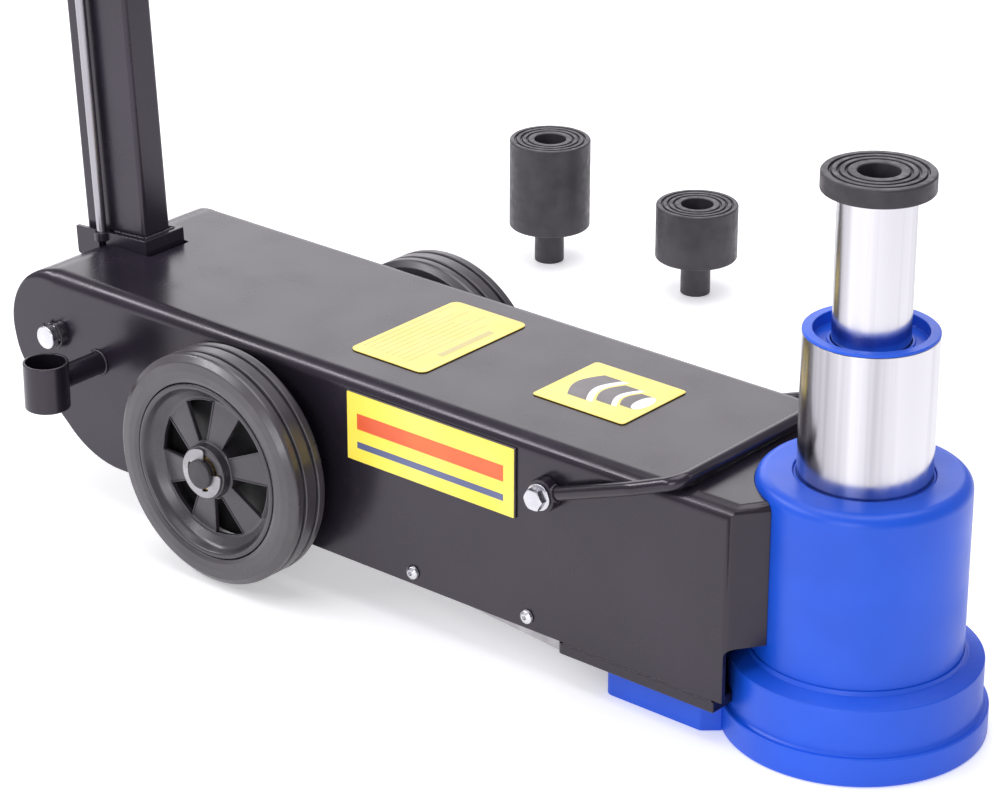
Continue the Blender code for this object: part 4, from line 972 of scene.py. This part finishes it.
def wheels():
    for side_name, side, turn in SIDES:
        place = at(WHEEL_X, side * (WHEEL_FACE - TYRE_WIDTH / 2), WHEEL_Z, turn)
        body = f"wheel_{side_name}"
        tyre(f"{side_name}_tyre", place, body, f"tyre_{side_name}")
        rim(f"{side_name}_rim", place, body, f"rim_{side_name}")
        mouth = Matrix.Rotation(math.radians(45), 4, "Z")
        clip_place = at(WHEEL_X, side * 0.1276, WHEEL_Z, turn @ mouth)
        retaining_clip(f"{side_name}_wheel_clip", AXLE_RADIUS - 0.0012, 0.0170, 0.0125, 0.0014, clip_place,
                       f"wheel_clip_{side_name}", PALE_ZINC)


# ---------------------------------------------------------------- carrying bail
def bail():
    corner = 0.010
    reach = math.hypot(BAIL_REACH, BAIL_RISE)
    slope = math.atan2(BAIL_RISE, BAIL_REACH)
    bend = arc(reach - corner, BAIL_HALF_WIDTH - corner, corner, 90, 0, 14)
    lean = fillet([(0.0080, EYE_Y), (0.0720, EYE_Y + 0.0002, 0.03), bend[0]], False, 6)
    plan = lean[:-1] + bend
    route = [(x * math.cos(slope), y, x * math.sin(slope)) for x, y in plan]
    route += [(x, -y, z) for x, y, z in reversed(route)]
    shape = sweep("carrying_bail", route, BAIL_ROD, 32, at(BAIL_X, 0, BAIL_Z))
    half = EYE_WIDTH / 2
    profile = [(0.0110, half, 0.0006), (0.0110, -half, 0.0006), (0.0046, -half), (0.0046, half)]
    eyes = [ring_of_revolution("eye", profile, 56, at(BAIL_X, side * EYE_Y, BAIL_Z, ALONG_Y)) for _, side, _ in SIDES]
    join(shape, *eyes)
    show(shape, BLACK_PAINT, "bail", ["bail"])
    for side_name, side, _ in SIDES:
        along = Matrix.Rotation(-slope, 4, "Y") @ ALONG_X
        reach_of_weld = 0.0108
        place = at(BAIL_X + reach_of_weld * math.cos(slope), side * EYE_Y,
                   BAIL_Z + reach_of_weld * math.sin(slope), along)
        weld_ring(f"bail_eye_weld_{side_name}", BAIL_ROD + 0.0002, place, 0.0014, "bail")


def bail_bolts():
    for side_name, side, turn in SIDES:
        profile = [(0.0, 0.0016), (0.0066, 0.0018, 0.0005), (0.0088, 0.0010, 0.0005), (0.0088, 0.0, 0.0002),
                   (0.0043, 0.0), (0.0043, -0.0140, 0.0005), (0.0, -0.0140)]
        place = at(BAIL_X, side * (EYE_Y + EYE_WIDTH / 2 + GAP), BAIL_Z, turn)
        bolt = solid_of_revolution(f"{side_name}_bail_bolt", profile, SMALL_ROUND + 8, place)
        head = flat("hexagon", [hexagon(0.0075)], 0.0056, 0.0004, place @ at(0, 0, 0.0042))
        crown = [(0.0, 0.0071), (0.0058, 0.0071, 0.0004), (0.0080, 0.0058), (0.0080, -0.001), (0.0, -0.001)]
        combine(head, [solid_of_revolution("crown", crown, SMALL_ROUND + 8, place)], "INTERSECT")
        join(bolt, head)
        show(bolt, ZINC, "jack_body", [f"bail_bolt_{side_name}"])


# ---------------------------------------------------------------- rear pin and handle
def rear_pin():
    radius = 0.0082
    half = [(radius, 0.0934, 0.0009), (radius, 0.0876), (radius - 0.0014, 0.0876), (radius - 0.0014, 0.0858),
            (radius, 0.0858)]
    mirrored = [(corner[0], -corner[1], *corner[2:]) for corner in reversed(half)]
    profile = [(0.0, 0.0934)] + half + mirrored + [(0.0, -0.0934)]
    shape = solid_of_revolution("cross_pin", profile, SMALL_ROUND + 8, at(PIVOT_X, 0, PIVOT_Z, ALONG_Y))
    show(shape, ZINC, "jack_body", ["rear_pin"])
    for side_name, side, turn in SIDES:
        place = at(PIVOT_X, side * 0.0867, PIVOT_Z, turn @ Matrix.Rotation(math.radians(100), 4, "Z"))
        retaining_clip(f"{side_name}_pin_clip", radius - 0.0011, 0.0108, 0.0094, 0.0012, place,
                       f"rear_pin_clip_{side_name}", BLACK_OXIDE)
        length = BODY_HALF_WIDTH - SHEET - 2 * GAP - BRACKET_HALF_WIDTH
        half_length = length / 2
        tube = [(0.0125, half_length, 0.0006), (0.0125, -half_length, 0.0006), (radius + GAP, -half_length),
                (radius + GAP, half_length)]
        place = at(PIVOT_X, side * (BRACKET_HALF_WIDTH + GAP + half_length), PIVOT_Z, ALONG_Y)
        spacer = ring_of_revolution(f"{side_name}_spacer_tube", tube, SMALL_ROUND + 8, place)
        show(spacer, STEEL, "jack_body", [f"pin_spacer_{side_name}"])


def handle_bracket():
    cheek = [(-0.0405, 0.0330, 0.002), (-0.0290, 0.0290)] + arc(0, 0, 0.0150, 195, 345, 24)
    cheek += [(0.0250, 0.0380), (0.0285, 0.0430), (0.0285, BRACKET_TOP, 0.0006), (-0.0405, BRACKET_TOP, 0.0006)]
    stand = HANDLE @ SIDE_VIEW
    bracket = flat("foot_bracket", [fillet(cheek)], 2 * BRACKET_HALF_WIDTH, 0.0012, stand)
    hollow = 2 * (BRACKET_HALF_WIDTH - SHEET)
    cut(bracket, block("channel", (0.080, 0.10, hollow), 0.001, 3, stand @ at(-0.016, 0.020, 0)))
    front = block("front_wall", (SHEET, 0.0125, 2 * BRACKET_HALF_WIDTH), 0.0006, 3,
                  stand @ at(0.0270, BRACKET_TOP - 0.0063, 0))
    guide = rod("guide", 0.0057, 0.0066, SMALL_ROUND, on_handle(ROD_X, ROD_Y, BRACKET_TOP - 0.0031), 0.0008)
    join(bracket, front, guide)
    cut(bracket, rod("pin_hole", 0.0085, 0.10, SMALL_ROUND, on_handle(0, 0, 0, ALONG_Y)),
        rod("rod_hole", ROD_RADIUS + GAP, 0.10, SMALL_ROUND, on_handle(ROD_X, ROD_Y, BRACKET_TOP)))
    show(bracket, BLACK_PAINT, "handle", ["handle_bracket"])
    height = BRACKET_TOP - 0.0002
    rear = POST_OFFSET - POST_DEPTH / 2
    front_x = POST_OFFSET + POST_DEPTH / 2 + 0.0012
    near = POST_WIDTH / 2 + 0.0014
    for side_name, side, _ in SIDES:
        start = rear + 0.004 if side > 0 else ROD_X + 0.008
        route = [HANDLE @ Vector((start, side * near, height)), HANDLE @ Vector((front_x, side * near, height))]
        weld = bead(f"post_weld_{side_name}", route, 0.0013)
        show(weld, BLACK_PAINT, "handle", sharp=60)
    route = [HANDLE @ Vector((front_x, -near, height)), HANDLE @ Vector((front_x, near, height))]
    show(bead("post_weld_front", route, 0.0013), BLACK_PAINT, "handle", sharp=60)


def handle_post():
    wall = 0.002
    outer = rectangle(POST_DEPTH, POST_WIDTH, 0.0036, 8)
    inner = rectangle(POST_DEPTH - 2 * wall, POST_WIDTH - 2 * wall, 0.0016, 6)
    length = POST_TOP - POST_BOTTOM
    post = flat("post_tube", [outer, inner], length, matrix=on_handle(POST_OFFSET, 0, POST_BOTTOM + length / 2))
    show(post, BLACK_PAINT, "handle", ["handle_post"])


def lock_rod():
    bottom = BRACKET_TOP - 0.007
    top = 0.770
    shape = rod("pull_rod", ROD_RADIUS, top - bottom, SMALL_ROUND, on_handle(ROD_X, ROD_Y, (top + bottom) / 2), 0.0009)
    show(shape, CHROME, "lock_rod", ["lock_rod"])
    stem = ROD_RADIUS + GAP
    profile = [(0.0, 0.0365)] + arc(0.0, 0.026, 0.0105, 80, -60, 20)
    profile += [(0.0042, 0.0140, 0.001), (0.0042, stem, 0.0004), (0.0, stem)]
    knob = solid_of_revolution("pull_knob", profile, SMALL_ROUND + 8, on_handle(ROD_X, ROD_Y, 0.745, ALONG_MINUS_Y))
    show(knob, BLACK_MOULDING, "lock_rod", ["lock_rod_knob"])
    guide = rod("guide_clamp", 0.0057, 0.008, SMALL_ROUND, on_handle(ROD_X, ROD_Y, 0.690), 0.0006)
    tab_y = -POST_WIDTH / 2 - GAP - 0.0010
    join(guide, block("tab", (0.022, 0.0020, 0.008), 0.0006, 3, on_handle(ROD_X + 0.004, tab_y, 0.690)))
    cut(guide, rod("rod_hole", ROD_RADIUS + GAP, 0.05, SMALL_ROUND, on_handle(ROD_X, ROD_Y, 0.690)))
    show(guide, BLACK_PAINT, "handle", ["rod_guide"])


def handle_head():
    bottom = POST_TOP + GAP
    height = 0.072
    middle = bottom + height / 2
    head = block("head_moulding", (0.066, 0.034, height), 0.006, 6, on_handle(POST_OFFSET, 0, middle))
    ears = []
    for side in (-1, 1):
        for x in (-0.0092, 0.0092):
            place = on_handle(POST_OFFSET + x, side * 0.0240, LEVER_Z, ALONG_X)
            ears.append(flat("ear", [rectangle(0.014, 0.022, 0.005)], 0.0046, 0.0008, place))
        ears.append(rod("lever_pin", 0.0020, 0.0225, 24, on_handle(POST_OFFSET, side * LEVER_Y, LEVER_Z, ALONG_X)))
    join(head, *ears)
    groove = flat("parting_groove", [rectangle(0.072, 0.040, 0.006), rectangle(0.0648, 0.0328, 0.0055)], 0.0010,
                  matrix=on_handle(POST_OFFSET, 0, LEVER_Z + 0.013))
    cut(head, groove,
        rod("bar_hole", GRIP_BAR_RADIUS + GAP, 0.2, SMALL_ROUND, on_handle(POST_OFFSET, 0, GRIP_Z, ALONG_Y)),
        rod("air_port", 0.0063, 0.03, SMALL_ROUND, on_handle(POST_OFFSET - 0.033, 0, LEVER_Z, ALONG_X)))
    show(head, BLACK_MOULDING, "handle", ["handle_head"])


def grips():
    length = 0.246
    half = length / 2
    inner = GRIP_BAR_RADIUS - 0.002
    tube = [(GRIP_BAR_RADIUS, half), (GRIP_BAR_RADIUS, -half), (inner, -half), (inner, half)]
    shape = ring_of_revolution("cross_bar", tube, SMALL_ROUND + 8, on_handle(POST_OFFSET, 0, GRIP_Z, ALONG_Y))
    show(shape, STEEL, "handle", ["grip_bar"])
    for side_name, side, turn in SIDES:
        profile = [(0.0, 0.1260), (0.0165, 0.1260, 0.0034)]
        for index in range(12):
            height = 0.1190 - 0.0070 * index
            profile += [(0.0165, height, 0.0008), (0.0152, height - 0.0014, 0.0008)]
            profile += [(0.0152, height - 0.0030, 0.0008), (0.0165, height - 0.0044, 0.0008)]
        profile += [(0.0165, 0.0330, 0.001), (0.0185, 0.0300, 0.001), (0.0185, 0.0260, 0.0012)]
        profile += [(GRIP_BAR_RADIUS + GAP, 0.0260), (GRIP_BAR_RADIUS + GAP, half + GAP), (0.0, half + GAP)]
        place = on_handle(POST_OFFSET, 0, GRIP_Z, turn)
        shape = solid_of_revolution(f"{side_name}_grip", profile, SMALL_ROUND + 16, place)
        show(shape, GRIP, "handle", [f"grip_{side_name}"], 50)


def levers():
    outline = arc(0, 0, 0.0060, 110, 250, 14)
    outline += fillet([(0.018, -0.0085), (0.060, -0.0085), (0.074, -0.0060, 0.001), (0.074, -0.0030, 0.001),
                       (0.060, -0.0050), (0.020, -0.0045), (0.008, 0.0040)], False)
    for name, side in (("release_lever", -1), ("lift_lever", 1)):
        place = on_handle(POST_OFFSET, side * LEVER_Y, LEVER_Z, Matrix.Rotation(math.radians(90), 4, "Z") @ SIDE_VIEW)
        shape = flat(f"{name}_plate", [[(side * x, y) for x, y in outline]], 0.0128, 0.0010, place)
        cut(shape, rod("pin_hole", 0.0023, 0.05, 24, on_handle(POST_OFFSET, side * LEVER_Y, LEVER_Z, ALONG_X)))
        show(shape, ZINC, name, [name])


def air_inlet():
    profile = [(0.0, -0.012), (0.0025, -0.012), (0.0025, 0.034, 0.0003), (0.0048, 0.034, 0.0006), (0.0058, 0.031),
               (0.0058, 0.027, 0.0006), (0.0044, 0.025), (0.0044, 0.018), (0.0070, 0.016, 0.0004), (0.0070, 0.008),
               (0.0085, 0.008, 0.0005), (0.0085, 0.0008, 0.0005), (0.0060, 0.0008), (0.0060, -0.014), (0.0, -0.014)]
    turn = Matrix.Rotation(math.radians(-90), 4, "Y")
    shape = solid_of_revolution("air_nipple", profile, SMALL_ROUND, on_handle(POST_OFFSET - 0.033, 0, LEVER_Z, turn))
    show(shape, BRASS, "handle", ["air_inlet_nipple"])


casting()
cylinder()
rams()
saddle()
adapters()
body_shell()
base_plate()
bottom_cover()
cover_screws()
holder_cup()
labels()
axle()
wheels()
bail()
bail_bolts()
rear_pin()
handle_bracket()
handle_post()
lock_rod()
handle_head()
grips()
levers()
air_inlet()

# ---------------------------------------------------------------- floor, light and camera
FLOOR_HALF = 6.0
CAMERA_PLACE = Vector((1.0568, -1.5977, 1.0618))
CAMERA_AZIMUTH = math.radians(39.983)
CAMERA_ELEVATION = math.radians(23.967)
CAMERA_ROLL = math.radians(0.131)
CAMERA_LENS = 126.41             # for a sensor 36 mm wide


def floor():
    bm = bmesh.new()
    bmesh.ops.create_grid(bm, x_segments=1, y_segments=1, size=FLOOR_HALF)
    ground = new_object("floor", bm)
    surface = Surface("pale_floor", (0.86, 0.86, 0.87), 0.55)
    surface.tint(surface.noise(0.8, 2), (0.85, 0.85, 0.86), (0.88, 0.88, 0.89))
    surface.set("Emission Color", (1.0, 1.0, 1.0, 1.0))
    surface.set("Emission Strength", 0.35)
    ground.data.materials.append(surface.material)


def softbox(name, place, aim, width, height, power):
    light = bpy.data.lights.new(name, "AREA")
    light.shape = "RECTANGLE"
    light.size = width
    light.size_y = height
    light.energy = power
    lamp = bpy.data.objects.new(name, light)
    lamp.location = place
    lamp.rotation_euler = (Vector(aim) - Vector(place)).to_track_quat("-Z", "Y").to_euler()
    bpy.context.scene.collection.objects.link(lamp)


def studio():
    """White tent: a dim even sky, a bright wall behind the jack, a lamp above and strips at the sides."""
    world = bpy.data.worlds.new("studio")
    bpy.context.scene.world = world
    world.use_nodes = True
    background = world.node_tree.nodes["Background"]
    background.inputs["Color"].default_value = (1.0, 0.965, 1.06, 1.0)
    background.inputs["Strength"].default_value = 0.45
    softbox("overhead", (-0.3, 0.2, 2.6), (-0.3, 0.0, 0.0), 2.4, 2.4, 44)
    softbox("back_wall", (-2.6, 2.6, 1.5), (-0.3, 0.0, 0.1), 3.4, 2.2, 36)
    softbox("left_strip", (-2.06, -1.56, 2.0), (-0.3, 0.0, 0.15), 3.0, 0.30, 40)
    softbox("near_side", (0.9, -3.0, 1.0), (-0.2, 0.0, 0.1), 1.6, 1.2, 26)
    bpy.context.scene.view_settings.view_transform = "Standard"


def camera():
    data = bpy.data.cameras.new("photo_camera")
    data.sensor_width = 36.0
    data.lens = CAMERA_LENS
    data.clip_end = 50
    view = Vector((-math.sin(CAMERA_AZIMUTH) * math.cos(CAMERA_ELEVATION),
                   math.cos(CAMERA_AZIMUTH) * math.cos(CAMERA_ELEVATION), -math.sin(CAMERA_ELEVATION)))
    level = Vector((math.cos(CAMERA_AZIMUTH), math.sin(CAMERA_AZIMUTH), 0))
    upward = level.cross(view)
    right = level * math.cos(CAMERA_ROLL) + upward * math.sin(CAMERA_ROLL)
    up = upward * math.cos(CAMERA_ROLL) - level * math.sin(CAMERA_ROLL)
    holder = bpy.data.objects.new("photo_camera", data)
    holder.matrix_world = Matrix.Translation(CAMERA_PLACE) @ Matrix((right, up, -view)).transposed().to_4x4()
    bpy.context.scene.collection.objects.link(holder)
    bpy.context.scene.camera = holder


floor()
studio()
camera()
